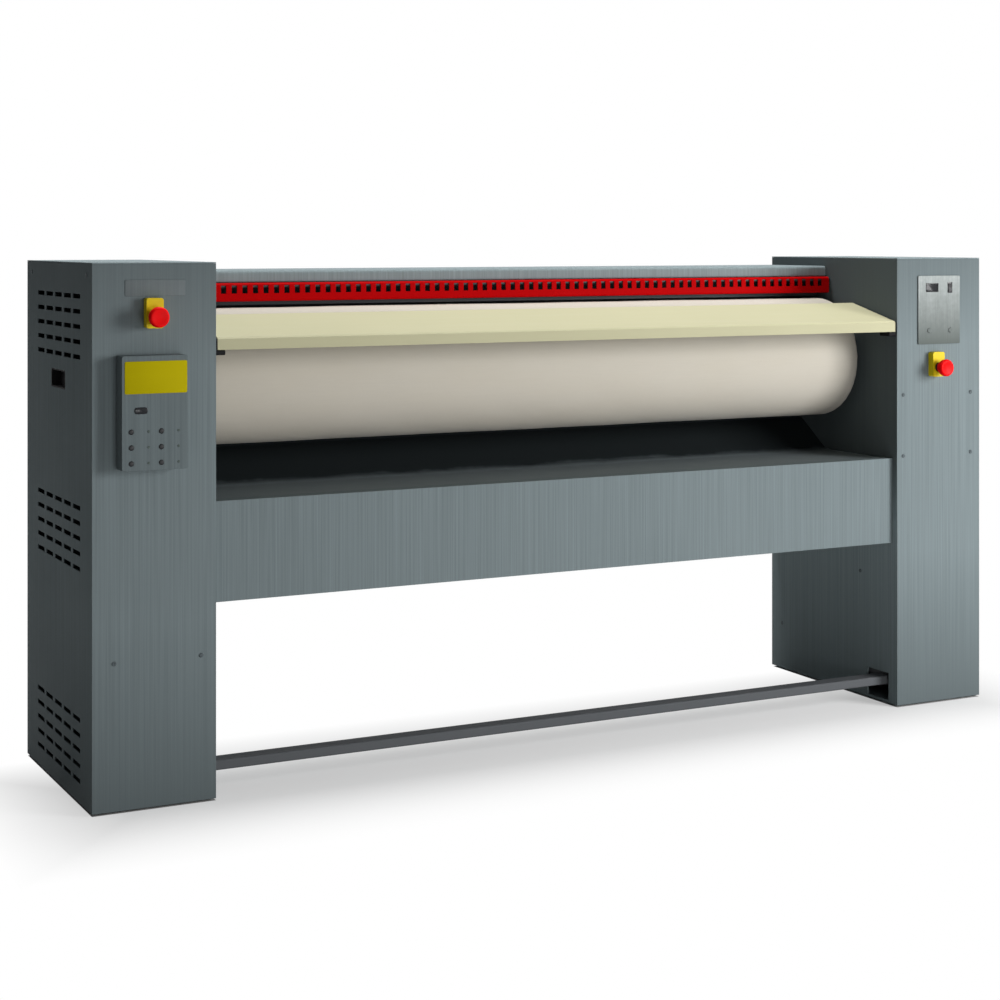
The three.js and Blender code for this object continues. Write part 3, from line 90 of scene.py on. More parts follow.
class Look:
    """A material under construction: a Principled shader and short ways to feed it."""

    def __init__(self, name, metallic=0.0, roughness=0.5, coat=0.0, sheen=0.0, specular=0.3):
        self.material = bpy.data.materials.new(name)
        self.material.use_nodes = True
        self.tree = self.material.node_tree
        self.shader = self.tree.nodes["Principled BSDF"]
        settings = {
            "Metallic": metallic,
            "Roughness": roughness,
            "Coat Weight": coat,
            "Coat Roughness": COAT_ROUGHNESS,
            "Sheen Weight": sheen,
            "Specular IOR Level": specular,
        }
        for key, value in settings.items():
            self.shader.inputs[key].default_value = value
        self.normal = None

    def node(self, kind, **settings):
        made = self.tree.nodes.new(kind)
        for key, value in settings.items():
            setattr(made, key, value)
        return made

    def join(self, start, end):
        self.tree.links.new(start, end)

    def place(self, scale=(1, 1, 1), turn=(0, 0, 0)):
        """The object's own coordinates, in metres times the scale."""
        coordinates = self.node("ShaderNodeTexCoord")
        mapping = self.node("ShaderNodeMapping")
        mapping.inputs["Scale"].default_value = scale
        mapping.inputs["Rotation"].default_value = turn
        self.join(coordinates.outputs["Object"], mapping.inputs["Vector"])
        return mapping.outputs["Vector"]

    def along(self, axis):
        """The distance along an axis of the object, in metres."""
        split = self.node("ShaderNodeSeparateXYZ")
        self.join(self.place(), split.inputs["Vector"])
        return split.outputs[axis]

    def noise(self, vector, scale=1.0, detail=3.0, roughness=0.5):
        made = self.node("ShaderNodeTexNoise")
        made.inputs["Scale"].default_value = scale
        made.inputs["Detail"].default_value = detail
        made.inputs["Roughness"].default_value = roughness
        self.join(vector, made.inputs["Vector"])
        return made.outputs["Fac"]

    def ramp(self, value, *stops):
        """A colour for each value, from stops of (value, colour)."""
        made = self.node("ShaderNodeValToRGB")
        elements = made.color_ramp.elements
        while len(elements) < len(stops):
            elements.new(0.5)
        for element, (position, colour) in zip(elements, stops):
            element.position = position
            element.color = (*colour, 1)
        self.join(value, made.inputs["Fac"])
        return made.outputs["Color"]

    def remap(self, value, start, end, span=(0.3, 0.7)):
        """Start to end as the value runs over the span. Noise lies mostly in the usual span."""
        made = self.node("ShaderNodeMapRange")
        settings = {"From Min": span[0], "From Max": span[1], "To Min": start, "To Max": end}
        for key, number in settings.items():
            made.inputs[key].default_value = number
        self.join(value, made.inputs["Value"])
        return made.outputs["Result"]

    def mix(self, factor, first, second):
        made = self.node("ShaderNodeMix", data_type="RGBA", blend_type="MIX")
        factor_in, first_in, second_in = made.inputs[0], made.inputs[6], made.inputs[7]
        for socket, value in ((factor_in, factor), (first_in, first), (second_in, second)):
            if isinstance(value, (int, float)):
                socket.default_value = value
            elif isinstance(value, tuple):
                socket.default_value = (*value, 1)
            else:
                self.join(value, socket)
        return made.outputs[2]

    def calc(self, operation, first, second=0.0):
        made = self.node("ShaderNodeMath", operation=operation)
        for socket, value in zip(made.inputs, (first, second)):
            if isinstance(value, (int, float)):
                socket.default_value = value
            else:
                self.join(value, socket)
        return made.outputs[0]

    def soften(self, radius):
        """Rounds the shading of every edge over the radius."""
        made = self.node("ShaderNodeBevel", samples=4)
        made.inputs["Radius"].default_value = radius
        self.normal = made.outputs["Normal"]
        return self

    def bump(self, height, strength, distance):
        made = self.node("ShaderNodeBump")
        made.inputs["Strength"].default_value = strength
        made.inputs["Distance"].default_value = distance
        self.join(height, made.inputs["Height"])
        if self.normal:
            self.join(self.normal, made.inputs["Normal"])
        self.normal = made.outputs["Normal"]
        return self

    def done(self, colour, roughness=None):
        self.join(colour, self.shader.inputs["Base Color"])
        if roughness is not None:
            self.join(roughness, self.shader.inputs["Roughness"])
        if self.normal:
            self.join(self.normal, self.shader.inputs["Normal"])
        return self.material


def shade(colour, factor):
    return tuple(min(1.0, channel * factor) for channel in colour)


def grained(name, colour, foot_and_top_shade=1.0, shade_above_tray=0.0):
    """Enamelled sheet with the fine vertical grain of the steel showing through.

    worn scales the painted shade towards the floor and the top, and heat the painted shade from the
    tray upwards, where the board and roll shade the frame plates.
    """
    look = Look(name, specular=0.05)
    grain = look.noise(look.place((260, 260, 2.2)), detail=2.0, roughness=0.6)
    cloud = look.noise(look.place(), scale=3.0, detail=4.0, roughness=0.55)
    pale, deep = shade(colour, 1.17), shade(colour, 0.84)
    tone = look.ramp(grain, (0.25, deep), (0.5, colour), (0.78, pale))
    tone = look.mix(look.remap(cloud, 0.0, 0.22), tone, shade(colour, 0.8))
    height = look.along("Z")
    # Painted shade: darker towards the floor.
    tone = look.mix(look.remap(height, 0.65 * foot_and_top_shade, 0.0, FOOT_SHADE_HEIGHTS), tone, shade(colour, 0.5))
    # Painted shade: darker towards the top.
    tone = look.mix(look.remap(height, 0.0, 0.6 * foot_and_top_shade, TOP_SHADE_HEIGHTS), tone, shade(colour, 0.6))
    # Painted shade from the board and roll: darker from the tray upwards.
    if shade_above_tray:
        tone = look.mix(look.remap(height, 0.0, shade_above_tray, SHADE_ABOVE_HEIGHTS), tone, shade(colour, 0.25))
    rough = look.remap(look.mix(0.5, grain, cloud), 0.62, 0.78)
    look.soften(0.0012).bump(grain, strength=0.1, distance=0.0004)
    return look.done(tone, rough)


def back_shaded_sheet(name, colour, dark):
    """Enamelled tray, lighter at its front and near black towards its back: painted light and shade
    under the roll.
    """
    look = Look(name, specular=0.05)
    cloud = look.noise(look.place(), scale=6.0, detail=4.0, roughness=0.6)
    uneven = look.remap(cloud, -0.008, 0.008)
    back = look.calc("ADD", look.along("Y"), uneven)
    # Painted shade: darker towards the back.
    tone = look.mix(look.remap(back, 0.0, 1.0, BACK_SHADE_SPAN), colour, dark)
    look.soften(0.0012)
    return look.done(tone, look.remap(cloud, 0.55, 0.75))


def satin(name, foot, top, heights):
    """Brushed and lacquered plate, brighter at its top than at its foot: a painted reflection."""
    look = Look(name, specular=0.12)
    marks = look.noise(look.place((500, 500, 8)), roughness=0.6)
    cloud = look.noise(look.place(), scale=90.0, roughness=0.6)
    # Painted reflection: lighter towards the top.
    tone = look.mix(look.remap(look.along("Z"), 0.0, 1.0, heights), foot, top)
    tone = look.mix(look.remap(marks, 0.0, 0.3), tone, shade(foot, 0.9))
    tone = look.mix(look.remap(cloud, 0.0, 0.25), tone, foot)
    look.soften(0.0005).bump(marks, strength=0.1, distance=0.0002)
    return look.done(tone, look.remap(marks, 0.5, 0.65))


def enamel(name, colour, roughness=(0.5, 0.65), wear=0.12, specular=0.2):
    """Smooth paint with orange peel, and faint marks where hands and linen rub."""
    look = Look(name, specular=specular)
    peel = look.noise(look.place(), scale=900, detail=2.0)
    rub = look.noise(look.place((3, 40, 40)), detail=5.0, roughness=0.65)
    cloud = look.noise(look.place(), scale=5.0, detail=4.0)
    tone = look.mix(look.remap(cloud, 0.0, wear), colour, shade(colour, 0.72))
    tone = look.mix(look.remap(rub, 0.0, wear, (0.45, 0.8)), tone, shade(colour, 1.2))
    look.soften(0.001).bump(peel, strength=0.05, distance=0.0003)
    return look.done(tone, look.remap(rub, *roughness))


def moulded(name, colour, roughness=(0.4, 0.55), grain=1400, strength=0.15, specular=0.25):
    """Plastic or rubber with a fine spark-eroded grain."""
    look = Look(name, specular=specular)
    texture = look.noise(look.place(), scale=grain, detail=2.0)
    cloud = look.noise(look.place(), scale=60.0)
    tone = look.mix(look.remap(cloud, 0.0, 0.35), shade(colour, 0.85), shade(colour, 1.12))
    look.soften(0.0006).bump(texture, strength, distance=0.0003)
    return look.done(tone, look.remap(cloud, *roughness))


def brushed(name, colour, roughness=(0.25, 0.42), metallic=1.0):
    """Bare steel with brush marks along X."""
    look = Look(name, metallic=metallic)
    marks = look.noise(look.place((6, 500, 500)), roughness=0.6)
    cloud = look.noise(look.place(), scale=8.0)
    tone = look.ramp(marks, (0.3, shade(colour, 0.85)), (0.7, shade(colour, 1.1)))
    tone = look.mix(look.remap(cloud, 0.0, 0.25), tone, shade(colour, 0.75))
    look.soften(0.0006).bump(marks, strength=0.1, distance=0.0002)
    return look.done(tone, look.remap(marks, *roughness))


def cast(name, colour):
    """Painted casting, rough and a little dusty in the hollows."""
    look = Look(name, metallic=0.2)
    skin = look.noise(look.place(), scale=260.0, detail=5.0, roughness=0.7)
    dust = look.noise(look.place(), scale=18.0, detail=4.0)
    tone = look.ramp(dust, (0.35, shade(colour, 0.8)), (0.7, shade(colour, 1.15)))
    look.soften(0.0015).bump(skin, strength=0.35, distance=0.0008)
    return look.done(tone, look.remap(skin, 0.5, 0.75))


def woven(name, colour):
    """Plain weave: two crossed sets of threads, with slubs, and a little browning from the hot chest.
    """
    look = Look(name, sheen=0.1, roughness=0.92)
    coordinates = look.node("ShaderNodeTexCoord")
    split = look.node("ShaderNodeSeparateXYZ")
    look.join(coordinates.outputs["UV"], split.inputs["Vector"])
    threads = []
    for axis in ("X", "Y"):
        phase = look.calc("MULTIPLY", split.outputs[axis], math.pi / THREAD)
        threads.append(look.calc("ABSOLUTE", look.calc("SINE", phase)))
    weave = look.calc("MAXIMUM", *threads)
    slub = look.noise(look.place((14, 500, 500)), roughness=0.6)
    fuzz = look.noise(look.place(), scale=700.0)
    cloud = look.noise(look.place((0.8, 2.5, 2.5)), scale=2.0, detail=4.0, roughness=0.6)
    browned = (colour[0] * 0.92, colour[1] * 0.86, colour[2] * 0.74)
    tone = look.ramp(weave, (0.0, shade(colour, 0.8)), (0.9, colour))
    tone = look.mix(look.remap(slub, 0.0, 0.3), tone, shade(colour, 1.08))
    tone = look.mix(look.remap(cloud, 0.0, 0.28), tone, browned)
    look.bump(weave, strength=0.5, distance=0.0004)
    look.bump(fuzz, strength=0.25, distance=0.0005)
    return look.done(tone, look.remap(fuzz, 0.85, 1.0))


def wool(name, colour):
    """Mineral wool or needled felt: layered fibres."""
    look = Look(name, sheen=0.2)
    fibres = look.noise(look.place((30, 400, 400)), detail=6.0, roughness=0.75)
    clumps = look.noise(look.place(), scale=40.0, detail=5.0, roughness=0.7)
    tone = look.ramp(fibres, (0.3, shade(colour, 0.75)), (0.7, shade(colour, 1.1)))
    look.bump(clumps, strength=0.5, distance=0.002)
    return look.done(tone, look.remap(clumps, 0.85, 1.0))


def circuit(name):
    """Green board with darker copper runs under the lacquer."""
    look = Look(name, coat=0.4)
    runs = look.node("ShaderNodeTexBrick")
    settings = {
        "Scale": 90.0,
        "Mortar Size": 0.012,
        "Color1": (0.01, 0.09, 0.04, 1),
        "Color2": (0.015, 0.12, 0.05, 1),
        "Mortar": (0.25, 0.17, 0.04, 1),
    }
    for key, value in settings.items():
        runs.inputs[key].default_value = value
    look.join(look.place(turn=(math.pi / 2, 0, 0)), runs.inputs["Vector"])
    look.bump(runs.outputs["Fac"], strength=0.2, distance=0.0002)
    cloud = look.noise(look.place(), scale=200.0)
    return look.done(runs.outputs["Color"], look.remap(cloud, 0.3, 0.45))


def glassy(name, colour):
    """Smoked display window: dark, glossy, with a hint of dust."""
    look = Look(name, coat=0.1, specular=0.1)
    dust = look.noise(look.place(), scale=500.0, detail=5.0, roughness=0.7)
    tone = look.mix(look.remap(dust, 0.0, 0.3, (0.5, 0.8)), colour, shade(colour, 2.5))
    look.bump(dust, strength=0.04, distance=0.0002)
    return look.done(tone, look.remap(dust, 0.15, 0.3))


GREY = (0.165, 0.2, 0.209)
slot_looks = {
    "cover": grained("grey_enamel", GREY),
    # The frame plates: a lighter copy of the cover grey, painted light on the inner walls, with
    # painted shade above the tray.
    "frame": grained("frame_enamel_painted_light_and_shade", shade(GREY, 1.5), shade_above_tray=0.85),
    "black_rubber": moulded(
        "black_rubber", (0.01, 0.01, 0.011), (0.6, 0.8), grain=900, strength=0.3, specular=0.1),
    "dark_steel": enamel("black_paint", (0.022, 0.023, 0.026), (0.4, 0.55)),
    "tray": back_shaded_sheet("tray_enamel_painted_shade", (0.175, 0.205, 0.218), dark=(0.012, 0.015, 0.016)),
    "cream": enamel("cream_enamel", (0.45, 0.435, 0.285), wear=0.08, specular=0.08),
    "red_paint": enamel("red_enamel", (0.4, 0.001, 0.002), wear=0.1, specular=0.012),
    "red_plastic": moulded(
        "red_plastic", (0.86, 0.002, 0.003), (0.35, 0.45), grain=900, strength=0.06, specular=0.06),
    "steel": brushed("brushed_steel", (0.6, 0.61, 0.62)),
    "key_black": moulded("black_plastic", (0.014, 0.015, 0.017)),
    "felt": wool("needled_felt", (0.7, 0.66, 0.56)),
    "cloth": woven("ironing_cloth", (0.49, 0.462, 0.405)),
    "cast_grey": cast("grey_casting", (0.13, 0.15, 0.16)),
    "insulation": wool("mineral_wool", (0.6, 0.53, 0.3)),
    "circuit": circuit("circuit_board"),
    "silver": satin("satin_aluminium_painted_reflection", (0.09, 0.106, 0.1), (0.36, 0.39, 0.385), (0.85, 1.0)),
    "yellow": moulded(
        "yellow_plastic", (0.72, 0.56, 0.008), (0.35, 0.5),
        grain=1000, strength=0.08, specular=0.12),
}
yellow_film = enamel("yellow_film", (0.43, 0.36, 0.002), wear=0.2, specular=0.02)
plate_grey = grained("plain_plate", (0.17, 0.197, 0.204))
window = glassy("smoked_window", (0.012, 0.013, 0.015))
lamp = moulded("lamp_lens", (0.09, 0.115, 0.105), (0.4, 0.5), strength=0.05, specular=0.1)
painted_screw = enamel("painted_screw", (0.09, 0.11, 0.118), (0.4, 0.6))
# Lighter copy of the cover grey on the pedestal tops: painted light from above.
lit_top_grey = grained("top_enamel_painted_light", shade(GREY, 1.4), foot_and_top_shade=0.0)
# Near-black steel; on the chest bed it is painted shade that keeps the nip between chest and roll
# dark.
blued_steel_painted_shade = brushed("blued_steel_painted_shade", (0.035, 0.036, 0.04), (0.4, 0.55), metallic=0.3)
node_looks = {
    "control_box": grained("box_enamel", (0.13, 0.158, 0.165)),
    "treadle": enamel("treadle_paint", (0.1, 0.106, 0.113), specular=0.03),
    # Lighter copy of the cover grey on the hood: painted light.
    "chest_hood": grained("hood_enamel_painted_light", shade(GREY, 1.3), foot_and_top_shade=0.0),
    "top_cover_left": lit_top_grey,
    "top_cover_right": lit_top_grey,
    "guard_rod": blued_steel_painted_shade,
    "chest_bed": blued_steel_painted_shade,
}

for row in frame["record"]["subparts"]:
    name = row["node"]
    nodes[name].data.materials.clear()
    nodes[name].data.materials.append(node_looks.get(name, slot_looks[row["material_slot"]]))

# ---------------------------------------------------------------- mesh helpers
SHARP = math.radians(35)  # edges that turn by more stay sharp
SCREW_RADIUS = 0.0045
SCREW_RISE = 0.0022
SCREW_SIDES = 24


def piece(name, mesh, material, body):
    """A new object from a bmesh, with its material, riding on a body."""
    data = bpy.data.meshes.new(name)
    bmesh.ops.recalc_face_normals(mesh, faces=mesh.faces)
    mesh.to_mesh(data)
    mesh.free()
    data.materials.append(material)
    data.polygons.foreach_set("use_smooth", [True] * len(data.polygons))
    data.set_sharp_from_angle(angle=SHARP)
    made = bpy.data.objects.new(name, data)
    bpy.context.scene.collection.objects.link(made)
    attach(made, body)
    return made


def turned(mesh, profile, place, segments):
    """Turns a profile of (radius, distance) about the line through the place along Y."""
    rings = []
    for radius, distance in profile:
        ring = []
        for i in range(segments if radius > 0 else 1):
            angle = 2 * math.pi * i / segments
            offset = Vector((radius * math.cos(angle), distance, radius * math.sin(angle)))
            ring.append(mesh.verts.new(Vector(place) + offset))
        rings.append(ring)
    for first, second in zip(rings, rings[1:]):
        count = max(len(first), len(second))
        for i in range(count):
            j = (i + 1) % count
            corners = [
                first[i % len(first)], first[j % len(first)],
                second[j % len(second)], second[i % len(second)],
            ]
            face = list(dict.fromkeys(corners))
            if len(face) > 2:
                mesh.faces.new(face)
    return rings


def plate(mesh, centre, size, depth, corner, edge, steps=5):
    """A flat plate in the XZ plane with rounded corners and a rounded front edge.

    centre is on its back face, and size is its width and height.
    """
    def loop(inset, y):
        radius = max(corner - inset, 1e-4)
        half_x, half_z = size[0] / 2 - inset - radius, size[1] / 2 - inset - radius
        ring = []
        for quarter, (side, end) in enumerate(((1, 1), (-1, 1), (-1, -1), (1, -1))):
            for i in range(steps + 1):
                angle = math.pi / 2 * (quarter + i / steps)
                x = side * half_x + radius * math.cos(angle)
                z = end * half_z + radius * math.sin(angle)
                ring.append(mesh.verts.new((centre[0] + x, centre[1] + y, centre[2] + z)))
        return ring

    third = edge * 0.3
    rings = [loop(0, 0), loop(0, edge - depth), loop(third, third - depth), loop(edge, -depth)]
    for first, second in zip(rings, rings[1:]):
        for i in range(len(first)):
            j = (i + 1) % len(first)
            mesh.faces.new((first[i], first[j], second[j], second[i]))
    mesh.faces.new(rings[0])
    mesh.faces.new(list(reversed(rings[-1])))


def flat_piece(name, centre, size, material, slot, **shape):
    mesh = bmesh.new()
    plate(mesh, centre, size, **shape)
    piece(name, mesh, material, "root")


def screw(mesh, place, outward):
    """A pan head with a cross recess, standing on the place and facing outward."""
    radius, rise = SCREW_RADIUS, SCREW_RISE
    start = len(mesh.verts)
    profile = [(radius, 0.0), (radius, -rise * 0.35), (radius * 0.85, -rise * 0.75)]
    profile += [(radius * 0.5, -rise), (0.0, -rise)]
    rings = turned(mesh, profile, (0, 0, 0), SCREW_SIDES)
    mesh.faces.new(rings[0])
    mesh.verts.ensure_lookup_table()
    verts = mesh.verts[start:]
    for vert in verts:
        on_top = math.hypot(vert.co.x, vert.co.z) < radius * 0.6 and vert.co.y < -rise * 0.9
        in_cross = min(abs(vert.co.x), abs(vert.co.z)) < radius * 0.14
        if on_top and in_cross:
            vert.co.y += rise * 0.45
    turn = Vector((0, -1, 0)).rotation_difference(Vector(outward)).to_matrix().to_4x4()
    bmesh.ops.transform(mesh, matrix=Matrix.Translation(place) @ turn, verts=verts)


# ---------------------------------------------------------------- roll cover
COVER_STEPS = 288  # points around the roll
COVER_RUNS = 96  # stretches along the roll's straight part
COVER_THICKNESS = 0.0016
COVER_INSET = 0.0006  # the cover's mean face below the CAD's
COVER_IN = 0.041  # how far the cover is drawn in over the roll's ends
END_RUNS = 5  # stretches from its drawn-in edge to the shoulder
SHOULDER = 0.03  # rounding of the roll's ends
SHOULDER_RUNS = 12
LAP_STEPS = 7  # points around the roll that the overlap takes
LAP_RISE = 0.0012
GATHERS = 36  # pleats round each end
GATHER_DEPTH = 0.0004
GATHER_REACH = 0.11  # the pleats fade out this far from the edge, measured on the cloth
# Slight ripples: (height, turn per metre along the roll, turn per turn round it, start)
RIPPLES = ((0.0003, 9, 3, 0.0), (0.0002, 23, -5, 1.0))


def cover_line():
    """(x, radius) on the cover's face and the outward direction there, from edge to edge."""
    lip = ROLL_RADIUS - COVER_IN
    rise = ROLL_RADIUS - SHOULDER - lip
    right = [(ROLL_HALF, lip + rise * i / END_RUNS, 1.0, 0.0) for i in range(END_RUNS)]
    for i in range(SHOULDER_RUNS + 1):
        angle = math.pi / 2 * i / SHOULDER_RUNS
        c, s = math.cos(angle), math.sin(angle)
        right.append((ROLL_HALF - SHOULDER * (1 - c), ROLL_RADIUS - SHOULDER * (1 - s), c, s))
    half = ROLL_HALF - SHOULDER
    straight = [(half * (1 - 2 * i / COVER_RUNS), ROLL_RADIUS, 0.0, 1.0)
                for i in range(1, COVER_RUNS)]
    return right + straight + [(-x, r, -c, s) for x, r, c, s in reversed(right)]


def roll_cover():
    """The cloth over the padded roll: a lapped seam, slight ripples, ends drawn in with gathers."""
    line = cover_line()
    lengths = [0.0]
    for (x0, r0, *_), (x1, r1, *_) in zip(line, line[1:]):
        lengths.append(lengths[-1] + math.hypot(x1 - x0, r1 - r0))

    def point(index, step, inset):
        x, radius, out_x, out_r = line[index]
        angle = 2 * math.pi * step / COVER_STEPS
        to_edge = min(lengths[index], lengths[-1] - lengths[index])
        gathered = max(0.0, 1 - to_edge / GATHER_REACH)
        pleat = math.sin(GATHERS * angle + 0.6 * math.sin(5 * angle)) ** 3
        rise = LAP_RISE if step < LAP_STEPS else 0.0
        for height, along, around, start in RIPPLES:
            rise += height * math.sin(along * x + around * angle + start)
        depth = inset + COVER_INSET + gathered * GATHER_DEPTH * (1 + pleat) - (1 - gathered) * rise
        x, radius = x - depth * out_x, radius - depth * out_r
        return Vector((x, ROLL.y + radius * math.cos(angle), ROLL.z + radius * math.sin(angle)))

    def ring(index, inset):
        return [mesh.verts.new(point(index, step, inset)) for step in range(COVER_STEPS)]

    mesh = bmesh.new()
    uv = mesh.loops.layers.uv.new("cloth")
    stride = 2 * math.pi * ROLL_RADIUS / COVER_STEPS
    shells = [[ring(i, inset) for i in range(len(line))] for inset in (0.0, COVER_THICKNESS)]
    for shell in shells:
        for i in range(len(line) - 1):
            for s in range(COVER_STEPS):
                t = (s + 1) % COVER_STEPS
                corners = (shell[i][s], shell[i][t], shell[i + 1][t], shell[i + 1][s])
                spots = ((i, s), (i, s + 1), (i + 1, s + 1), (i + 1, s))
                for loop, (u, v) in zip(mesh.faces.new(corners).loops, spots):
                    loop[uv].uv = (lengths[u], v * stride)
    outside, inside = shells
    for i in (0, len(line) - 1):
        for s in range(COVER_STEPS):
            t = (s + 1) % COVER_STEPS
            mesh.faces.new((outside[i][s], outside[i][t], inside[i][t], inside[i][s]))
    cover = piece("roll_cover", mesh, slot_looks["cloth"], "roll")
    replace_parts(cover, "roll_cloth")


roll_cover()

# ---------------------------------------------------------------- controls
KNOB_SIDES, CAP_SIDES, LAMP_SIDES = 64, 32, 20
KNOB_RIM_DEPTH = 0.0062  # the rolled rim of a stop knob, from front to widest point
KNOB_RIM_STEPS = 8
STEM_RADIUS = 0.0114  # hole in a stop knob for its stem
STEM_END = 0.0065  # bottom of that hole behind the knob's front
CAP_FLANGE = 0.0017  # width of the flange round a key or button
CAP_FLANGE_DEPTH = 0.002
PLUNGER_RADIUS = 0.0025
PLUNGER_END = 0.005  # end of a plunger behind its cap's wall
PLUNGER_PLAY = 0.0002  # and in front of the CAD's


def stop_knob(side):
    """Mushroom head with a rolled rim and a shallow dish."""
    lo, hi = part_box(f"stop_head_{side}")
    radius, depth = (hi[0] - lo[0]) / 2, hi[1] - lo[1]
    dish = [(0.0, 0.0016), (radius * 0.4, 0.0012), (radius * 0.62, 0.0003), (radius * 0.75, 0.0)]
    rim = []
    for i in range(KNOB_RIM_STEPS + 1):
        angle = math.pi / 2 * i / KNOB_RIM_STEPS
        out, back = radius * 0.22 * math.sin(angle), KNOB_RIM_DEPTH * (1 - math.cos(angle))
        rim.append((radius * 0.78 + out, back))
    flank = [(radius, 0.0105), (radius * 0.97, 0.0125)]
    neck = [(radius * 0.74, depth - 0.006), (radius * 0.7, depth - 0.0035), (radius * 0.7, depth)]
    hole = [(STEM_RADIUS, depth), (STEM_RADIUS, STEM_END), (0.0, STEM_END)]
    centre = middle(f"stop_head_{side}")
    mesh = bmesh.new()
    turned(mesh, dish + rim + flank + neck + hole, (centre.x, lo[1], centre.z), KNOB_SIDES)
    look = slot_looks["red_plastic"]
    knob = piece(f"stop_knob_{side}", mesh, look, f"stop_head_{side}")
    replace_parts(knob, f"stop_head_{side}")


def round_cap(node, slot):
    """A key or button: a softly domed cap with its flange and plunger behind."""
    lo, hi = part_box(node)
    flange = (hi[2] - lo[2]) / 2
    radius = flange - CAP_FLANGE
    wall = hi[1] - lo[1] - PLUNGER_END - PLUNGER_PLAY
    dome = [(0.0, 0.0), (radius * 0.5, 0.00015), (radius * 0.82, 0.0005), (radius, 0.0012)]
    skirt = [(radius, wall), (flange, wall), (flange, wall + CAP_FLANGE_DEPTH)]
    plunger = [(PLUNGER_RADIUS, wall + PLUNGER_END), (0.0, wall + PLUNGER_END)]
    centre = middle(node)
    mesh = bmesh.new()
    turned(mesh, dome + skirt + plunger, (centre.x, lo[1], centre.z), CAP_SIDES)
    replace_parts(piece(f"{node}_cap", mesh, slot_looks[slot], node), node)


for side in ("left", "right"):
    stop_knob(side)
for i in range(1, 7):
    round_cap(f"key_{i}", "key_black")
for i in (1, 2):
    round_cap(f"plate_button_{i}", "silver")

# ---------------------------------------------------------------- plates, windows and lamps
YELLOW_PLATE = (0.123, 0.062)
YELLOW_ASIDE, YELLOW_DROP = 0.0015, 0.0412  # its middle from the box's middle and top
LEFT_WINDOW = (0.026, 0.013)
LEFT_WINDOW_ASIDE, LEFT_WINDOW_DROP = -0.028, 0.104
LEFT_WINDOW_SINK, RIGHT_WINDOW_SINK = 0.0012, 0.0024  # backs of the windows behind the fronts
LAMP_ASIDE = 0.034  # lamp from its key
LAMP_PROFILE = [(0.0, -0.0009), (0.002, -0.0007), (0.0026, 0.0), (0.0, 0.0)]
BARE_PLATE = (0.12, 0.032)
BARE_PLATE_IN, BARE_PLATE_DROP = 0.1237, 0.049  # its middle from the pedestal's outer side and top
PANEL_DROP = 0.028  # middle of the display and the rocker below the control plate's top
DISPLAY_ASIDE, DISPLAY = -0.021, (0.034, 0.018)
ROCKER_ASIDE, ROCKER = 0.032, (0.0112, 0.0226)
DISPLAY_GAP = 0.0002  # round the window in its opening
FRAME_STRIP = 0.0013  # width of the black frames

flat_piece("yellow_plate", (BOX.x + YELLOW_ASIDE, BOX_FRONT, BOX_TOP - YELLOW_DROP), YELLOW_PLATE,
           yellow_film, "yellow", depth=0.0006, corner=0.003, edge=0.0002)
window_place = (BOX.x + LEFT_WINDOW_ASIDE, BOX_FRONT + LEFT_WINDOW_SINK, BOX_TOP - LEFT_WINDOW_DROP)
flat_piece("left_window", window_place, LEFT_WINDOW,
           window, "key_black", depth=0.002, corner=0.0062, edge=0.0005)

mesh = bmesh.new()
for i in range(1, 7):
    spot = middle(f"key_{i}")
    turned(mesh, LAMP_PROFILE, (spot.x + LAMP_ASIDE, BOX_FRONT, spot.z), LAMP_SIDES)
piece("key_lamps", mesh, lamp, "root")

flat_piece("bare_plate", (BARE_PLATE_IN - OUTER, FACE, TOP - BARE_PLATE_DROP), BARE_PLATE,
           plate_grey, "silver", depth=0.0008, corner=0.003, edge=0.0003)
window_place = (PANEL.x + DISPLAY_ASIDE, PANEL_FRONT + RIGHT_WINDOW_SINK, PANEL_TOP - PANEL_DROP)
flat_piece("right_window", window_place, [length - 2 * DISPLAY_GAP for length in DISPLAY],
           window, "key_black", depth=0.002, corner=0.001, edge=0.0003)

mesh = bmesh.new()
strip_shape = {"depth": 0.0007, "corner": 0.0006, "edge": 0.0002, "steps": 3}
for aside, (width, height) in ((DISPLAY_ASIDE, DISPLAY), (ROCKER_ASIDE, ROCKER)):
    x, z = PANEL.x + aside, PANEL_TOP - PANEL_DROP
    for sign in (-1, 1):
        across, up = sign * (width + FRAME_STRIP) / 2, sign * (height + FRAME_STRIP) / 2
        bar = (width + 2 * FRAME_STRIP, FRAME_STRIP)
        plate(mesh, (x, PANEL_FRONT, z + up), bar, **strip_shape)
        plate(mesh, (x + across, PANEL_FRONT, z), (FRAME_STRIP, height), **strip_shape)
piece("window_frames", mesh, slot_looks["key_black"], "root")


# ---------------------------------------------------------------- screws
# Heights are above the floor.
FRONT_LEFT_IN, FRONT_LEFT_HEIGHTS = (0.043, 0.216), (0.286,)  # from the left pedestal's outer side
FRONT_RIGHT_IN, FRONT_RIGHT_HEIGHTS = (0.018, 0.219), (0.73, 0.587)  # from its inner side
SIDE_INSET, SIDE_HEIGHT = 0.038, 1.026
FRAME_SCREWS = ((0.46, 0.118), (0.139, 0.299))  # (distance behind the front, height)
PANEL_COLUMNS, PANEL_HEIGHTS = (-0.78, -0.39, 0, 0.39, 0.78), (0.41, 0.98)
REAR_IN, REAR_HEIGHTS = (0.018, 0.228), (0.06, 0.52, 1.0)  # from a pedestal's inner side


def screws(name, places, outward):
    mesh = bmesh.new()
    for place in places:
        screw(mesh, place, outward)
    piece(name, mesh, painted_screw, "root")


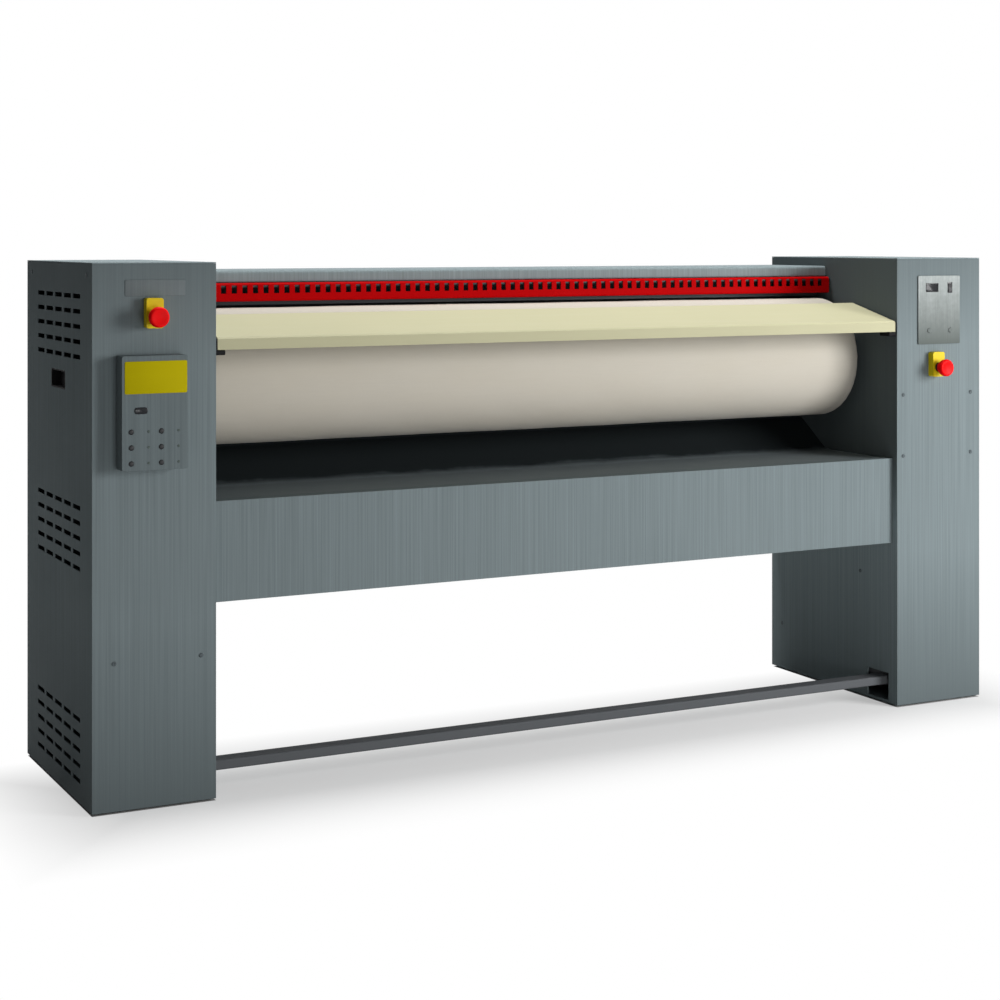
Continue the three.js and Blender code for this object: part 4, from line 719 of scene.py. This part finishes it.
spots = [(x - OUTER, FACE, z) for x in FRONT_LEFT_IN for z in FRONT_LEFT_HEIGHTS]
screws("front_screws_left", spots, (0, -1, 0))
spots = [(INNER + x, FACE, z) for x in FRONT_RIGHT_IN for z in FRONT_RIGHT_HEIGHTS]
screws("front_screws_right", spots, (0, -1, 0))
for side, sign in (("left", -1), ("right", 1)):
    ends = (FACE + SIDE_INSET, high(f"side_cover_{side}").y - SIDE_INSET)
    spots = [(sign * OUTER, y, SIDE_HEIGHT) for y in ends]
    screws(f"side_screws_{side}", spots, (sign, 0, 0))
for side, sign in (("right", 1), ("left", -1)):
    spots = [(sign * INNER, FACE + behind, z) for behind, z in FRAME_SCREWS]
    screws(f"inner_screws_{side}", spots, (-sign, 0, 0))
screws("rear_screws", [(x, REAR, z) for x in PANEL_COLUMNS for z in PANEL_HEIGHTS], (0, 1, 0))
for side, sign in (("left", -1), ("right", 1)):
    spots = [(sign * (INNER + x), REAR, z) for x in REAR_IN for z in REAR_HEIGHTS]
    screws(f"rear_screws_{side}", spots, (0, 1, 0))

# ---------------------------------------------------------------- stage, light and camera
FLOOR_HALF = 30
FLOOR_TONES = ((0.49, 0.49, 0.49), (0.51, 0.51, 0.51))  # where it is seen
FLOOR_BOUNCE = (0.5, 0.5, 0.5)  # where it lights the object
FLOOR_GLOW = 0.42  # lifts the seen floor to near white and leaves its shadows pale
FADE_BESIDE = (1.0, 1.3)  # distances from the middle over which the floor turns white, along X
FADE_AHEAD = (0.07, 0.4)  # and along Y, from the treadle bar
TREADLE_AHEAD = 0.2
AMBIENT = 0.09


def seen(tree):
    """1 for the rays that show the backdrop: from the camera, off a gloss, or through glass."""
    path = tree.nodes.new("ShaderNodeLightPath")
    value = path.outputs["Is Camera Ray"]
    for name in ("Is Glossy Ray", "Is Transmission Ray"):
        either = tree.nodes.new("ShaderNodeMath")
        either.operation = "MAXIMUM"
        tree.links.new(value, either.inputs[0])
        tree.links.new(path.outputs[name], either.inputs[1])
        value = either.outputs[0]
    return value


def stage_material():
    """Pale floor: white away from the object, its shadow near it, dark inside the pedestals."""
    look = Look("floor", roughness=0.8, specular=0.0)
    shown = seen(look.tree)
    cloud = look.noise(look.place(), scale=0.6, detail=2.0)
    tone = look.ramp(cloud, (0.3, FLOOR_TONES[0]), (0.7, FLOOR_TONES[1]))
    look.done(look.mix(shown, FLOOR_BOUNCE, tone))

    aside = look.calc("ABSOLUTE", look.along("X"))
    from_pedestal = look.calc("ABSOLUTE", look.calc("ADD", aside, -(INNER + OUTER) / 2))
    in_width = look.calc("LESS_THAN", from_pedestal, (OUTER - INNER) / 2)
    in_depth = look.calc("LESS_THAN", look.calc("ABSOLUTE", look.along("Y")), -FACE)
    outside = look.calc("SUBTRACT", 1.0, look.calc("MULTIPLY", in_width, in_depth))
    shown = look.calc("MULTIPLY", shown, outside)

    near, lit = look.node("ShaderNodeEmission"), look.node("ShaderNodeAddShader")
    look.join(look.calc("MULTIPLY", shown, FLOOR_GLOW), near.inputs["Strength"])
    look.join(look.shader.outputs[0], lit.inputs[0])
    look.join(near.outputs[0], lit.inputs[1])

    beside = look.remap(aside, 0.0, 1.0, FADE_BESIDE)
    from_treadle = look.calc("ABSOLUTE", look.calc("ADD", look.along("Y"), TREADLE_AHEAD))
    fade = look.calc("MAXIMUM", beside, look.remap(from_treadle, 0.0, 1.0, FADE_AHEAD))
    white, blend = look.node("ShaderNodeEmission"), look.node("ShaderNodeMixShader")
    look.join(look.calc("MULTIPLY", fade, shown), blend.inputs[0])
    look.join(lit.outputs[0], blend.inputs[1])
    look.join(white.outputs[0], blend.inputs[2])
    look.join(blend.outputs[0], look.tree.nodes["Material Output"].inputs["Surface"])
    return look.material


def area_light(name, place, target, size, power):
    data = bpy.data.lights.new(name, "AREA")
    data.shape, data.size, data.size_y = "RECTANGLE", size[0], size[1]
    data.energy = power
    made = bpy.data.objects.new(name, data)
    made.location = place
    made.rotation_euler = (Vector(target) - Vector(place)).to_track_quat("-Z", "Y").to_euler()
    bpy.context.scene.collection.objects.link(made)


mesh = bmesh.new()
bmesh.ops.create_grid(mesh, x_segments=2, y_segments=2, size=FLOOR_HALF)
data = bpy.data.meshes.new("floor")
mesh.to_mesh(data)
mesh.free()
data.materials.append(stage_material())
floor = bpy.data.objects.new("floor", data)
bpy.context.scene.collection.objects.link(floor)

area_light("key", place=(2.4, -2.8, 1.25), target=(0.9, -0.25, 0.6), size=(1.4, 1.4), power=125)
area_light("fill", place=(-0.4, -4.2, 0.5), target=(0.1, 0, 0.45), size=(1.2, 0.8), power=32)
area_light("overhead", place=(0.2, 0.5, 4.2), target=(0, 0, 0), size=(2.2, 1.2), power=155)

world = bpy.data.worlds.new("studio")
world.use_nodes = True
strength = world.node_tree.nodes.new("ShaderNodeMapRange")
strength.inputs["To Min"].default_value = AMBIENT
world.node_tree.links.new(seen(world.node_tree), strength.inputs["Value"])
sky = world.node_tree.nodes["Background"]
sky.inputs["Color"].default_value = (1, 1, 1, 1)
world.node_tree.links.new(strength.outputs["Result"], sky.inputs["Strength"])
scene = bpy.context.scene
scene.world = world
scene.view_settings.view_transform = "Standard"

data = bpy.data.cameras.new("camera")
data.lens = 70.78
data.sensor_width = 36
data.shift_y = -0.2615
data.clip_end = 100
camera = bpy.data.objects.new("camera", data)
camera.location = (-2.0875, -3.917, 1.096)
camera.rotation_euler = (math.radians(90), 0, math.radians(-27.11))
scene.collection.objects.link(camera)
scene.camera = camera
